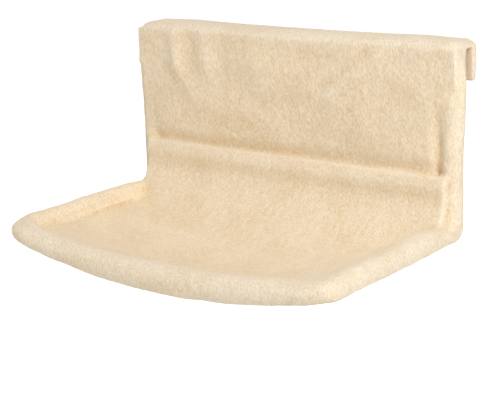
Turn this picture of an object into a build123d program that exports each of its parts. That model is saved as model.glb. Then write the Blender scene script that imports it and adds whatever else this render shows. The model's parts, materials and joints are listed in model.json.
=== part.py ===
# Radiator hammock for a small pet: a knock-down steel tube frame inside a padded plush cover.
# X runs across the bed, -Y towards the room, +Z up. The origin is the middle of the flat underside
# of the hook, where it rests on the top edge of the radiator. All lengths are in millimetres.
import os
from math import cos, hypot, pi, sin, sqrt, tan

from build123d import *

# Overall sizes
bed_width = 460.0
seat_seam_drop = 137.0  # hook underside down to the seam where the seat cloth starts
seat_depth = 248.0  # upright centre line to the centre line of the front corners
front_bow = 6.0  # how far the middle of the front rail stands forward
front_dip = 14.0  # how far the middle of the front rail lies below its corners
slot_width = 20.0  # gap that the radiator panel goes into
hook_drop = 37.5  # hook underside down to the hem of the flap

# Steel tube of the uprights and of the seat frame
tube_diameter = 16.0
tube_wall = 1.2
tube_bend_radius = 25.0
upright_top_gap = 6.0  # hook underside down to the open top of the upright
brace_below_seam = 23.0  # seam of the seat cloth down to the centre line of the brace
arms_below_brace = 40.0
joint_above_brace = 50.0  # brace up to the joint between upright and seat frame
front_point_shares = (-0.6, -0.2, 0.2, 0.6)  # corners of the gently bent front rail
gentle_run_share = 0.45  # of a run of the front rail, taken up by each of its two gentle bends

# Steel rod of the hanger
rod_diameter = 6.0
rod_bend_radius = 9.0
rod_end_share = 0.7  # where the rod ends, from the plug in the upright down to the coupling
top_rail_diameter = 5.0

# Cloth
plush_thickness = 4.0
lining_thickness = 2.5
seat_wadding_thickness = 6.0
cloth_gap = 0.3  # between cloth and the steel in it, and between neighbouring cloth pieces
rod_gap = 0.15
metal_fit = 0.1

# Joint sleeve with its snap button and leaf spring
coupling_wall = 1.2
coupling_length = 70.0
button_rise = 18.0  # joint up to the snap button
button_diameter = 6.0
button_hole_gap = 0.2
button_proud = 1.6
button_crown_share = 0.9
button_flange_diameter = 8.0
button_flange_thickness = 1.0
spring_thickness = 0.6
spring_width = 5.0
spring_length = 26.0
spring_leg_overlap = 6.0
spring_tip_length = 8.0
spring_bend_radius = 1.2
spring_tip_radius = 3.0

# Brace between the two stubs of the seat frame
brace_diameter = 12.0
brace_wall = 1.0
insert_length = 15.0
brace_screw_diameter = 5.0
brace_screw_bite = 12.0
brace_head_diameter = 9.5
brace_head_height = 2.6
brace_socket_width = 3.0

# End plugs, bushes and clamp screws of the hanger
plug_cap_thickness = 2.0
plug_stem_length = 20.0
bush_length = 12.0
clamp_screw_diameter = 4.0
clamp_head_diameter = 7.6
clamp_head_height = 2.2
clamp_socket_width = 2.5
head_pocket_gap = 0.4
socket_depth_share = 0.6
head_round_share = 0.7
socket_side_count = 6

# Flap over the radiator
flap_crown = 2.0  # how much higher the front of the flap stands than its rear
flap_front_radius = 12.0
flap_rear_radius = 13.0
hem_radius = 5.0
slot_corner_radius = 3.5
flap_base_drop = 4.0  # hook underside down to where the flap meets the back cushion

# Back cushion
back_pad_depth = 14.5
crease_depth = 5.6  # the crease beside the side roll, behind the roll's front
back_crown = 3.6
back_crown_power = 6
back_column_count = 10
back_level_count = 5
fold_height = 1.8
fold_width = 17.0
# Each soft fold of the back cushion runs between two places, given as x and z shares of the
# cushion's half width and height; the last number is its own share of fold_height.
fold_shares = (
    (-0.82, -0.03, -0.68, -0.62, 1.0),
    (0.57, -0.05, 0.29, -0.40, 0.7),
    (-0.20, -0.37, 0.22, -0.30, 0.6),
)

# Seat
seat_sag = 36.0
middle_reach = 66.0  # how far forward the seat cloth reaches as it turns from the back to the seat
rim_reach = 32.0  # the same at the rims, where the cloth follows the bend of the frame
seat_rim_drop = 4.0  # top of the seat cloth below the arms' centre line, at the rims
front_rim_rise = 3.0
roll_slack = 10.0  # how far the cloth of the front roll hangs below the round of the rail
roll_end_slack = 1.0
seat_station_shares = (-1.0, -0.92, -0.72, -0.4, 0.0, 0.4, 0.72, 0.92, 1.0)
turn_sag_share = 0.6
seat_edge_proud = 1.0  # how far the seat cloth stands in front of the side rolls at its seam
middle_bulge = 14.0
rim_bulge = 10.0
lining_bulge = 4.0
seat_front_gap = 1.0  # seat cloth to the front roll, whose rail runs a little inside its curve
wadding_taper_share = 0.85
roll_station_shares = (0.0, 0.06, 0.17, 0.34, 0.5, 0.66, 0.83, 0.94, 1.0)

# Zip under the back edge
zip_length = 370.0
tape_width = 11.0
tape_thickness = 0.8
zip_slit = 1.0
tooth_row_width = 2.2
tooth_row_height = 1.6
stop_length = 3.0
stop_height = 2.0
slider_length = 11.0
slider_width = 8.0
slider_plate = 1.2
slider_gap = 0.3
slider_web_width = 0.6
slider_web_length = 4.0
slider_park = 10.0  # end of the tapes to the middle of the closed slider
bail_bar = 1.0
bail_width = 2.0
bail_opening_length = 4.0
bail_opening_height = 2.4
pull_pin_diameter = 1.4
pull_leg_gap = 0.5
pull_leg_width = 1.0
pull_leg_length = 6.0
pull_length = 24.0
pull_thickness = 1.6
pull_width = 6.0
pull_hole_diameter = 2.6
pull_round_share = 0.6

overrun = 5.0

# Places that follow from the sizes
tube_radius = tube_diameter / 2
bore_radius = tube_radius - tube_wall
sleeve_bore = tube_radius + cloth_gap
sleeve_radius = sleeve_bore + plush_thickness
tube_x = bed_width / 2 - sleeve_radius
tube_y = -slot_width / 2 - sleeve_radius
seam_z = -seat_seam_drop
brace_z = seam_z - brace_below_seam
arm_z = brace_z - arms_below_brace
joint_z = brace_z + joint_above_brace
coupling_top = joint_z + coupling_length / 2
plug_bottom = -upright_top_gap - plug_stem_length
rod_end_z = plug_bottom + rod_end_share * (coupling_top - plug_bottom)
clamp_z = rod_end_z + bush_length / 2
button_z = joint_z + button_rise
rod_radius = rod_diameter / 2
rod_z = lining_thickness + rod_gap + rod_radius
flap_y = slot_width / 2 + lining_thickness + rod_gap + rod_radius
flap_bar_z = -hook_drop + plush_thickness + rod_gap + rod_radius
flap_top = rod_z + rod_radius + rod_gap + plush_thickness
flap_back = flap_y + rod_radius + rod_gap + plush_thickness
flap_half = tube_x + rod_radius + rod_gap + plush_thickness
flap_base_z = -flap_base_drop
coupling_radius = bore_radius - metal_fit
coupling_bore = coupling_radius - coupling_wall
button_radius = button_diameter / 2
panel_half = tube_x - sleeve_radius
roll_front = tube_y - sleeve_radius
tape_top = arm_z - sleeve_radius
arm_top = arm_z + tube_bend_radius + metal_fit  # where the upright's sleeve meets the arm's
sides = ((-1, "left"), (1, "right"))


def disc(radius, height, origin, direction):
    """A round bar that starts at origin and runs along direction."""
    return Plane(origin=origin, z_dir=direction) * extrude(Circle(radius), height)


def pipe(path, radius, bore=0):
    """A round bar or tube that follows a path."""
    section = Circle(radius) - Circle(bore) if bore else Circle(radius)
    return sweep(Plane(origin=path @ 0, z_dir=path % 0) * section, path=path)


def block(low, high):
    """A box between two opposite corners."""
    size = [b - a for a, b in zip(low, high)]
    middle = [(a + b) / 2 for a, b in zip(low, high)]
    return Pos(*middle) * Box(*size)


def side_profile(edges):
    """A face in the YZ plane from edges drawn with (y, z) points."""
    return Plane.YZ * make_face(edges)


def across(face, half):
    """Extrudes a YZ face the same way to both sides of the middle."""
    return extrude(face, half, both=True)


def front_rail_point(share):
    """The centre line of the front rail, from -1 at the left corner to 1 at the right one."""
    curve = 1 - share**2
    return (share * tube_x, tube_y - seat_depth - front_bow * curve, arm_z - front_dip * curve)


def seat_frame_points():
    """The corners of the seat frame's centre line, from the left joint round to the right one."""
    rear = [(-tube_x, tube_y, joint_z), (-tube_x, tube_y, arm_z)]
    front = [front_rail_point(share) for share in (-1, *front_point_shares, 1)]
    mirrored = [(-x, y, z) for x, y, z in reversed(rear)]
    return rear + front + mirrored


def turn_radius(before, corner, after):
    """The largest arc that two runs of a gently bent rail allow, a little short of meeting."""
    first = Vector(*corner) - Vector(*before)
    second = Vector(*after) - Vector(*corner)
    half_turn = first.get_angle(second) * pi / 180 / 2
    return gentle_run_share * min(first.length, second.length) / tan(half_turn)


def seat_frame_path():
    points = seat_frame_points()
    tight = 2  # bends at each end: below the upright and at the front corner
    gentle = range(tight + 1, len(points) - tight - 1)
    radii = [turn_radius(points[k - 1], points[k], points[k + 1]) for k in gentle]
    radii = [tube_bend_radius] * tight + radii + [tube_bend_radius] * tight
    return FilletPolyline(*points, radius=radii)


def front_run_end(side):
    """The point on the front rail where a corner bend has ended, and the rail's direction there."""
    corner = Vector(*front_rail_point(side))
    ahead = Vector(*front_rail_point(side * abs(front_point_shares[0]))) - corner
    half_turn = Vector(0, -1, 0).get_angle(ahead) * pi / 180 / 2
    return corner + ahead.normalized() * (tube_bend_radius * tan(half_turn) + metal_fit)


def front_rail_path():
    """The centre line of the front rail between its corner bends."""
    points = [front_run_end(-1)]
    points += [Vector(*front_rail_point(share)) for share in front_point_shares]
    points += [front_run_end(1)]
    whole = [front_rail_point(share) for share in (-1, *front_point_shares, 1)]
    radii = [turn_radius(whole[k - 1], whole[k], whole[k + 1]) for k in range(1, len(whole) - 1)]
    return FilletPolyline(*points, radius=radii)


def hanger_path():
    side_points = [(tube_y, rod_end_z), (tube_y, rod_z), (flap_y, rod_z), (flap_y, flap_bar_z)]
    left = [(-tube_x, y, z) for y, z in side_points]
    right = [(tube_x, y, z) for y, z in reversed(side_points)]
    return FilletPolyline(*left, *right, radius=rod_bend_radius)


# Steel frame


def make_upright(side):
    x = side * tube_x
    top = -upright_top_gap
    tube = pipe(Line((x, tube_y, joint_z), (x, tube_y, top)), tube_radius, bore_radius)
    hole_radius = button_radius + button_hole_gap
    tube -= disc(hole_radius, tube_diameter, (x, tube_y, button_z), (side, 0, 0))
    tube -= disc(clamp_screw_diameter / 2, tube_diameter, (x, tube_y, clamp_z), (-side, 0, 0))
    return tube


def make_seat_frame():
    frame = pipe(seat_frame_path(), tube_radius, bore_radius)
    hole_radius = brace_screw_diameter / 2 + metal_fit
    for side, _ in sides:
        start = (side * (tube_x + tube_diameter), tube_y, brace_z)
        frame -= disc(hole_radius, 2 * tube_diameter, start, (-side, 0, 0))
    return frame


def make_top_rail(hanger):
    rail_y = tube_y + rod_bend_radius + rod_radius
    rail = disc(top_rail_diameter / 2, 2 * tube_x, (-tube_x, rail_y, rod_z), (1, 0, 0))
    return rail - hanger


def make_coupling(side):
    x = side * tube_x
    line = Line((x, tube_y, coupling_top - coupling_length), (x, tube_y, coupling_top))
    coupling = pipe(line, coupling_radius, coupling_bore)
    hole_radius = button_radius + button_hole_gap
    return coupling - disc(hole_radius, tube_diameter, (x, tube_y, button_z), (side, 0, 0))


def button_flange_place():
    """Distance from the tube's centre line out to the flange's outer face, which rests in the bore."""
    chord = sqrt(coupling_bore**2 - (button_flange_diameter / 2) ** 2)
    return chord - metal_fit


def make_button(side):
    flange_outer = button_flange_place()
    tip = tube_radius + button_proud
    root = flange_outer - button_flange_thickness
    start = (side * (tube_x + root), tube_y, button_z)
    stem = disc(button_radius, tip - root, start, (side, 0, 0))
    crown_edges = stem.edges().filter_by(GeomType.CIRCLE).sort_by(Axis.X)
    stem = fillet(crown_edges[-1 if side > 0 else 0], button_proud * button_crown_share)
    flange = disc(button_flange_diameter / 2, button_flange_thickness, start, (side, 0, 0))
    return stem + flange


def make_button_spring(side):
    """A leaf bent to a V: one leg lies on the far wall of the coupling, the other pushes the flange."""
    leg = sqrt(coupling_bore**2 - (spring_width / 2) ** 2) - metal_fit - spring_thickness / 2
    tip = button_flange_place() - button_flange_thickness - metal_fit - spring_thickness / 2
    top = button_z + spring_leg_overlap
    bottom = button_z - spring_length
    knee = button_z - spring_tip_length / 2
    points = [(-leg, top), (-leg, bottom), (tip, knee), (tip, knee + spring_tip_length)]
    places = [(side * (tube_x + px), tube_y, pz) for px, pz in points]
    path = FilletPolyline(*places, radius=[spring_bend_radius, spring_tip_radius])
    start = Plane(origin=path @ 0, x_dir=(0, 1, 0), z_dir=path % 0)
    return sweep(start * Rectangle(spring_width, spring_thickness), path=path)


def make_brace():
    line = Line((-tube_x, tube_y, brace_z), (tube_x, tube_y, brace_z))
    brace = pipe(line, brace_diameter / 2, brace_diameter / 2 - brace_wall)
    for side, _ in sides:
        brace -= disc(tube_radius, tube_diameter, (side * tube_x, tube_y, brace_z - tube_radius), (0, 0, 1))
    return brace


def make_brace_insert(side):
    radius = brace_diameter / 2 - brace_wall
    start = (side * (tube_x - tube_radius - metal_fit), tube_y, brace_z)
    insert = disc(radius, insert_length, start, (-side, 0, 0))
    bore = disc(brace_screw_diameter / 2, insert_length, start, (-side, 0, 0))
    return insert - bore


def button_head_screw(shank_size, head_size, socket_width, place, direction):
    """A screw whose head stands behind place; both sizes are a diameter and a length."""
    head_diameter, head_height = head_size
    back = tuple(-d for d in direction)
    shank = disc(shank_size[0] / 2, shank_size[1], place, direction)
    head = disc(head_diameter / 2, head_height, place, back)
    outer = Vector(*place) + Vector(*back) * head_height
    rim = head.edges().filter_by(GeomType.CIRCLE).sort_by_distance(outer)[0]
    head = fillet(rim, head_height * head_round_share)
    hexagon = RegularPolygon(socket_width / 2, socket_side_count, major_radius=False)
    socket = Plane(origin=outer, z_dir=direction) * extrude(hexagon, head_height * socket_depth_share)
    return shank + head - socket


def make_brace_screw(side):
    place = (side * (tube_x + tube_radius), tube_y, brace_z)
    shank = (brace_screw_diameter, tube_diameter + metal_fit + brace_screw_bite)
    head = (brace_head_diameter, brace_head_height)
    return button_head_screw(shank, head, brace_socket_width, place, (-side, 0, 0))


def make_upright_plug(side):
    x = side * tube_x
    top = -upright_top_gap
    cap = disc(tube_radius, plug_cap_thickness, (x, tube_y, top), (0, 0, 1))
    stem = disc(bore_radius - metal_fit, plug_stem_length, (x, tube_y, top), (0, 0, -1))
    hole_height = plug_cap_thickness + plug_stem_length
    hole = disc(rod_radius + metal_fit, hole_height, (x, tube_y, top - plug_stem_length), (0, 0, 1))
    return cap + stem - hole


def make_hanger_bush(side):
    x = side * tube_x
    bottom = (x, tube_y, rod_end_z)
    bush = disc(bore_radius - metal_fit, bush_length, bottom, (0, 0, 1))
    bush -= disc(rod_radius + metal_fit, bush_length, bottom, (0, 0, 1))
    return bush - disc(clamp_screw_diameter / 2, tube_diameter, (x, tube_y, clamp_z), (-side, 0, 0))


def make_clamp_screw(side):
    place = (side * (tube_x - tube_radius), tube_y, clamp_z)
    shank = (clamp_screw_diameter, tube_radius - rod_radius)
    head = (clamp_head_diameter, clamp_head_height)
    return button_head_screw(shank, head, clamp_socket_width, place, (side, 0, 0))


# Cover: the flap over the radiator


def flap_outline():
    """The whole flap in section, cloth, hollow and lining together, round the slot."""
    front, back, hem = roll_front, flap_back, -hook_drop
    top_front = flap_top + flap_crown
    f, r, e = flap_front_radius, flap_rear_radius, hem_radius
    front_mid = (front + f - f * cos(pi / 4), top_front - f + f * sin(pi / 4))
    rear_mid = (back - r + r * cos(pi / 4), flap_top - r + r * sin(pi / 4))
    hem_mid = (back - e + e * cos(pi / 4), hem + e - e * sin(pi / 4))
    outer = [
        Line((front, flap_base_z), (front, top_front - f)),
        ThreePointArc((front, top_front - f), front_mid, (front + f, top_front)),
        Line((front + f, top_front), (back - r, flap_top)),
        ThreePointArc((back - r, flap_top), rear_mid, (back, flap_top - r)),
        Line((back, flap_top - r), (back, hem + e)),
        ThreePointArc((back, hem + e), hem_mid, (back - e, hem)),
        Line((back - e, hem), (slot_width / 2, hem)),
        Line((slot_width / 2, hem), (slot_width / 2, flap_base_z)),
        Line((slot_width / 2, flap_base_z), (front, flap_base_z)),
    ]
    return side_profile(outer)


def slot_section(inset, bottom):
    """The slot's own section with rounded top corners, grown by inset into the cloth."""
    half = slot_width / 2 + inset
    r = slot_corner_radius + inset
    drop = r * (1 - cos(pi / 4))
    edges = [
        Line((-half, bottom), (-half, inset - r)),
        ThreePointArc((-half, inset - r), (-half + drop, inset - drop), (-half + r, inset)),
        Line((-half + r, inset), (half - r, inset)),
        ThreePointArc((half - r, inset), (half - drop, inset - drop), (half, inset - r)),
        Line((half, inset - r), (half, bottom)),
        Line((half, bottom), (-half, bottom)),
    ]
    return side_profile(edges)


def make_flap_lining():
    half = flap_half - plush_thickness
    hem_top = -hook_drop + plush_thickness
    lining = across(slot_section(lining_thickness, hem_top), half)
    lining -= across(slot_section(0, hem_top - overrun), half + overrun)
    front_cut = block((-half - overrun, -flap_back, hem_top - overrun), (half + overrun, 0, flap_base_z))
    return lining - front_cut


def make_flap_plush():
    inner_half = flap_half - plush_thickness
    hem_top = -hook_drop + plush_thickness
    flap = across(flap_outline(), flap_half)
    flap -= across(slot_section(0, -hook_drop - overrun), flap_half + overrun)
    front, back = roll_front + plush_thickness, flap_back - plush_thickness
    hollow_top = flap_top - plush_thickness
    hollow = block((-inner_half, front, flap_base_z - overrun), (inner_half, back, hollow_top))
    below = flap_base_z - 2 * overrun
    hollow -= block((-bed_width, slot_width / 2, below), (bed_width, flap_back, flap_base_z))
    leg = block((-inner_half, slot_width / 2, hem_top), (inner_half, back, flap_base_z))
    top_edges = (hollow + leg).edges().filter_by(Axis.X).group_by(Axis.Z)[-1]
    hollow = fillet(top_edges, flap_front_radius - plush_thickness)
    return flap - hollow


# Cover: the back cushion


def fold_depth(x, z):
    """How far a soft fold stands out of the back cushion at a place on it."""
    total = 0
    for x0, z0, x1, z1, strength in fold_shares:
        start = Vector(x0 * panel_half, z0 * seat_seam_drop)
        run = Vector(x1 * panel_half, z1 * seat_seam_drop) - start
        along = (Vector(x, z) - start).dot(run) / run.dot(run)
        nearest = start + run * min(max(along, 0), 1)
        away = (Vector(x, z) - nearest).length
        total += strength * fold_height * (1 + cos(pi * min(away / fold_width, 1))) / 2
    return total


def back_front_y(x, z):
    """The front of the back cushion: a low crown between creases, with its soft folds."""
    across_share = abs(x) / panel_half
    rise = 1 - across_share**back_crown_power
    return roll_front + crease_depth - (crease_depth - back_crown / 2) * rise - fold_depth(x, z)


def make_back_plush():
    rear = tube_y + sleeve_radius - lining_thickness - back_pad_depth
    height = flap_base_z - seam_z
    half = panel_half - cloth_gap
    sections = []
    columns = [half * (2 * k / back_column_count - 1) for k in range(back_column_count + 1)]
    for level in range(back_level_count + 1):
        z = seam_z + level / back_level_count * height
        edges = []
        for x0, x1 in zip(columns, columns[1:]):
            middle = (x0 + x1) / 2
            ends = [(x, back_front_y(x, z), z) for x in (x0, middle, x1)]
            edges.append(ThreePointArc(*ends))
        edges.append(Line((half, back_front_y(half, z), z), (half, rear, z)))
        edges.append(Line((half, rear, z), (-half, rear, z)))
        edges.append(Line((-half, rear, z), (-half, back_front_y(-half, z), z)))
        sections.append(make_face(edges))
    return loft(sections)


def make_back_wadding():
    front = tube_y + sleeve_radius - lining_thickness - back_pad_depth
    rear = tube_y + sleeve_radius - lining_thickness
    half = panel_half - cloth_gap
    top = flap_base_z - cloth_gap
    return block((-half, front, seam_z), (half, rear, top))


def lining_half():
    """Half the width of the back lining, which ends where it meets the side rolls."""
    depth = sleeve_radius - lining_thickness
    return tube_x - sqrt(sleeve_radius**2 - depth**2) - cloth_gap


def make_back_lining():
    rear = tube_y + sleeve_radius
    return block((-lining_half(), rear - lining_thickness, tape_top), (lining_half(), rear, flap_base_z))


# Cover: the seat


def arm_path(side):
    """The centre line of an arm, from the foot of its upright round the front corner."""
    x = side * tube_x
    points = [(x, tube_y, arm_top), (x, tube_y, arm_z), front_rail_point(side), front_run_end(side)]
    return FilletPolyline(*points, radius=tube_bend_radius)


def bulged(first, last, bulge):
    """The middle of an arc between two (y, z) points, running forward, that sags below its chord."""
    dy, dz = last[0] - first[0], last[1] - first[1]
    length = hypot(dy, dz)
    middle_y, middle_z = (first[0] + last[0]) / 2, (first[1] + last[1]) / 2
    return middle_y - dz / length * bulge, middle_z + dy / length * bulge


def seat_line(share, drop):
    """The seat cloth's upper line at a station across the bed, set down by drop, rear to front."""
    bowl = 1 - share**2
    x = share * (panel_half - cloth_gap)
    rim = arm_z - seat_rim_drop
    rear = roll_front - seat_edge_proud
    start = (rear + drop, seam_z - cloth_gap)
    reach = rim_reach + (middle_reach - rim_reach) * bowl
    turn = (rear - reach, rim - turn_sag_share * seat_sag * bowl - drop)
    rail = front_rail_point(x / tube_x)
    front = (rail[1] + sleeve_radius + seat_front_gap, rail[2] + front_rim_rise - drop)
    level = (turn[1] + front[1]) / 2
    lowest = rim - seat_sag * bowl - drop
    return x, start, turn, front, level - lowest


def station_face(x, upper, lower):
    """A closed face between two chains of arcs, each given as (y, z) points with arc middles."""
    up = [(x, y, z) for y, z in upper]
    low = [(x, y, z) for y, z in lower]
    edges = []
    for k in range(0, len(up) - 2, 2):
        edges.append(ThreePointArc(up[k], up[k + 1], up[k + 2]))
    edges.append(Line(up[-1], low[-1]))
    for k in range(len(low) - 1, 1, -2):
        edges.append(ThreePointArc(low[k], low[k - 1], low[k - 2]))
    edges.append(Line(low[0], up[0]))
    return make_face(edges)


def seat_chain(share, drop):
    """Start, sweep, turn, bowl and front of one surface of the seat cloth."""
    x, start, turn, front, hang = seat_line(share, drop)
    bulge = rim_bulge + (middle_bulge - rim_bulge) * (1 - share**2)
    return x, [start, bulged(start, turn, bulge), turn, bulged(turn, front, hang), front]


def clear_of_corners(layer):
    """Cuts a seat layer back from the rolls where they turn the front corners."""
    for side, _ in sides:
        layer -= pipe(arm_path(side), sleeve_radius + cloth_gap / 2)
    return layer


def make_seat_plush():
    sections = []
    for share in seat_station_shares:
        x, upper = seat_chain(share, 0)
        lower = seat_chain(share, plush_thickness)[1]
        sections.append(station_face(x, upper, lower))
    return clear_of_corners(loft(sections))


def wadding_thickness(share):
    """The wadding thins out from the middle of the seat to its rims."""
    return seat_wadding_thickness * (1 - wadding_taper_share * share**2)


def make_seat_wadding():
    sections = []
    for share in seat_station_shares:
        top = plush_thickness + cloth_gap
        x, upper = seat_chain(share, top)
        lower = seat_chain(share, top + wadding_thickness(share))[1]
        sections.append(station_face(x, upper[2:], lower[2:]))
    return clear_of_corners(loft(sections))


def make_seat_lining():
    sections = []
    for share in seat_station_shares:
        top = plush_thickness + wadding_thickness(share) + 2 * cloth_gap
        chains = []
        for drop in (top, top + lining_thickness):
            x, chain = seat_chain(share, drop)
            start = (tube_y - zip_slit / 2 - tape_width - cloth_gap, tape_top - drop + top)
            turn = chain[2]
            chains.append([start, bulged(start, turn, lining_bulge), *chain[2:]])
        sections.append(station_face(x, *chains))
    return clear_of_corners(loft(sections))


# Cover: the rolls round the frame


def make_upright_sleeve(side):
    x = side * tube_x
    line = Line((x, tube_y, arm_top), (x, tube_y, flap_base_z - cloth_gap))
    sleeve = pipe(line, sleeve_radius, sleeve_bore)
    button_end = tube_radius + button_proud + cloth_gap
    button_pocket = button_radius + button_hole_gap + cloth_gap
    sleeve -= disc(button_pocket, button_end, (x, tube_y, button_z), (side, 0, 0))
    head_end = tube_radius + brace_head_height + head_pocket_gap
    head_pocket = brace_head_diameter / 2 + head_pocket_gap
    sleeve -= disc(head_pocket, head_end, (x, tube_y, brace_z), (side, 0, 0))
    brace_hole = brace_diameter / 2 + cloth_gap
    sleeve -= disc(brace_hole, sleeve_radius + overrun, (x, tube_y, brace_z), (-side, 0, 0))
    clamp_end = tube_radius + clamp_head_height + head_pocket_gap
    clamp_pocket = clamp_head_diameter / 2 + head_pocket_gap
    return sleeve - disc(clamp_pocket, clamp_end, (x, tube_y, clamp_z), (-side, 0, 0))


def make_arm_sleeve(side):
    return pipe(arm_path(side), sleeve_radius, sleeve_bore)


def roll_section(path, share):
    """The front roll in section: round over the rail, with its cloth hanging slack below."""
    across_share = 2 * share - 1
    slack = roll_end_slack + (roll_slack - roll_end_slack) * (1 - across_share**2)
    ahead = path % share
    place = Plane(origin=path @ share, x_dir=Vector(0, 0, 1).cross(ahead), z_dir=ahead)
    r, q = sleeve_radius, sleeve_radius * cos(pi / 4)
    edges = [
        ThreePointArc((r, 0), (q, q), (0, r)),
        ThreePointArc((0, r), (-q, q), (-r, 0)),
        Line((-r, 0), (-r, -slack)),
        ThreePointArc((-r, -slack), (-q, -slack - q), (0, -slack - r)),
        ThreePointArc((0, -slack - r), (q, -slack - q), (r, -slack)),
        Line((r, -slack), (r, 0)),
    ]
    return place * make_face(edges)


def make_front_roll():
    path = front_rail_path()
    roll = loft([roll_section(path, share) for share in roll_station_shares])
    return roll - pipe(seat_frame_path(), sleeve_bore)


# Zip along the bottom of the back


def make_zip_tape(edge):
    near = tube_y + edge * zip_slit / 2
    far = near + edge * tape_width
    low_y, high_y = sorted((near, far))
    return block((-zip_length / 2, low_y, tape_top - tape_thickness), (zip_length / 2, high_y, tape_top))


def make_tooth_row(edge):
    near = tube_y + edge * zip_slit / 2
    low_y, high_y = sorted((near, near + edge * tooth_row_width))
    top = tape_top - tape_thickness
    half = zip_length / 2 - stop_length
    return block((-half, low_y, top - tooth_row_height), (half, high_y, top))


def make_zip_stop(end):
    half_width = zip_slit / 2 + tooth_row_width
    top = tape_top - tape_thickness
    low_x, high_x = sorted((end * zip_length / 2, end * (zip_length / 2 - stop_length)))
    return block((low_x, tube_y - half_width, top - stop_height), (high_x, tube_y + half_width, top))


def slider_x():
    return -zip_length / 2 + slider_park


def slider_levels():
    """Underside of the outer plate and top of the inner plate."""
    chain_bottom = tape_top - tape_thickness - tooth_row_height
    return chain_bottom - slider_gap - slider_plate, tape_top + slider_gap + slider_plate


def make_zip_slider():
    x, half_x, half_y = slider_x(), slider_length / 2, slider_width / 2
    bottom, top = slider_levels()
    plates = Pos(x, tube_y, bottom + slider_plate / 2) * Box(slider_length, slider_width, slider_plate)
    plates += Pos(x, tube_y, top - slider_plate / 2) * Box(slider_length, slider_width, slider_plate)
    body = fillet(plates.edges().filter_by(Axis.Z), half_y / 2)
    lip_inner = zip_slit / 2 + tooth_row_width + slider_gap
    lip_top = tape_top - tape_thickness - slider_gap
    for edge in (-1, 1):
        low_y, high_y = sorted((tube_y + edge * lip_inner, tube_y + edge * half_y))
        straight = half_x - half_y / 2
        body += block((x - straight, low_y, bottom + slider_plate), (x + straight, high_y, lip_top))
    web = slider_web_width / 2
    web_x = slider_web_length / 2
    body += block((x - web_x, tube_y - web, bottom), (x + web_x, tube_y + web, top))
    bail_x = bail_opening_length / 2
    bail_low = bottom - bail_opening_height - bail_bar
    bail_end = bail_x + bail_bar
    low_y, high_y = tube_y - bail_width / 2, tube_y + bail_width / 2
    bail = block((x - bail_end, low_y, bail_low), (x + bail_end, high_y, bottom))
    bail = fillet(bail.edges().filter_by(Axis.Y).group_by(Axis.Z)[0], bail_bar)
    opening = block((x - bail_x, low_y, bottom - bail_opening_height), (x + bail_x, high_y, bottom))
    return body + bail - opening


def pull_axis_z():
    bottom, _ = slider_levels()
    return bottom - bail_opening_height + pull_pin_diameter / 2 + metal_fit


def make_zip_pull():
    x, z = slider_x(), pull_axis_z()
    inner = bail_width / 2 + pull_leg_gap
    outer = inner + pull_leg_width
    half_t, half_width = pull_thickness / 2, pull_width / 2
    tab_top = z - pull_leg_length
    bottom = (x - half_t, tube_y - half_width, z - pull_length)
    tab = block(bottom, (x + half_t, tube_y + half_width, tab_top))
    pull = fillet(tab.edges().filter_by(Axis.X), half_width * pull_round_share)
    pull += disc(pull_pin_diameter / 2, 2 * outer, (x, tube_y - outer, z), (0, 1, 0))
    for edge in (-1, 1):
        low_y, high_y = sorted((tube_y + edge * inner, tube_y + edge * outer))
        pull += block((x - half_t, low_y, tab_top - pull_leg_width), (x + half_t, high_y, z))
        pull += disc(half_t, pull_leg_width, (x, low_y, z), (0, 1, 0))
    hole_z = z - pull_length + half_width
    return pull - disc(pull_hole_diameter / 2, pull_width, (x - half_width, tube_y, hole_z), (1, 0, 0))


def pair(maker):
    """The left and the right copy of a small piece, as one group."""
    return Compound([maker(side) for side, _ in sides])


hanger = pipe(hanger_path(), rod_radius)
nodes = {
    "hanger_rod": hanger,
    "top_rail": make_top_rail(hanger),
    "seat_frame": make_seat_frame(),
    "brace": make_brace(),
    "brace_inserts": pair(make_brace_insert),
    "brace_screws": pair(make_brace_screw),
    "upright_plugs": pair(make_upright_plug),
    "hanger_bushes": pair(make_hanger_bush),
    "hanger_screws": pair(make_clamp_screw),
    "flap_plush": make_flap_plush(),
    "flap_lining": make_flap_lining(),
    "back_plush": make_back_plush(),
    "back_wadding": make_back_wadding(),
    "back_lining": make_back_lining(),
    "seat_plush": make_seat_plush(),
    "seat_wadding": make_seat_wadding(),
    "seat_lining": make_seat_lining(),
    "front_roll": make_front_roll(),
    "zip_tapes": pair(make_zip_tape),
    "zip_teeth": pair(make_tooth_row),
    "zip_stops": pair(make_zip_stop),
    "zip_slider": make_zip_slider(),
    "zip_pull": make_zip_pull(),
}
side_makers = {
    "upright": make_upright,
    "coupling": make_coupling,
    "snap_button": make_button,
    "button_spring": make_button_spring,
    "upright_sleeve": make_upright_sleeve,
    "arm_sleeve": make_arm_sleeve,
}
for side, word in sides:
    for piece, maker in side_makers.items():
        nodes[word + "_" + piece] = maker(side)

os.makedirs("parts", exist_ok=True)
for name, shape in nodes.items():
    export_step(shape, "parts/" + name + ".step")
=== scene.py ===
import json
from math import cos, pi, radians, sin, sqrt

import bmesh
import bpy
import numpy as np
from mathutils import Matrix, Vector, kdtree, noise

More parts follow.
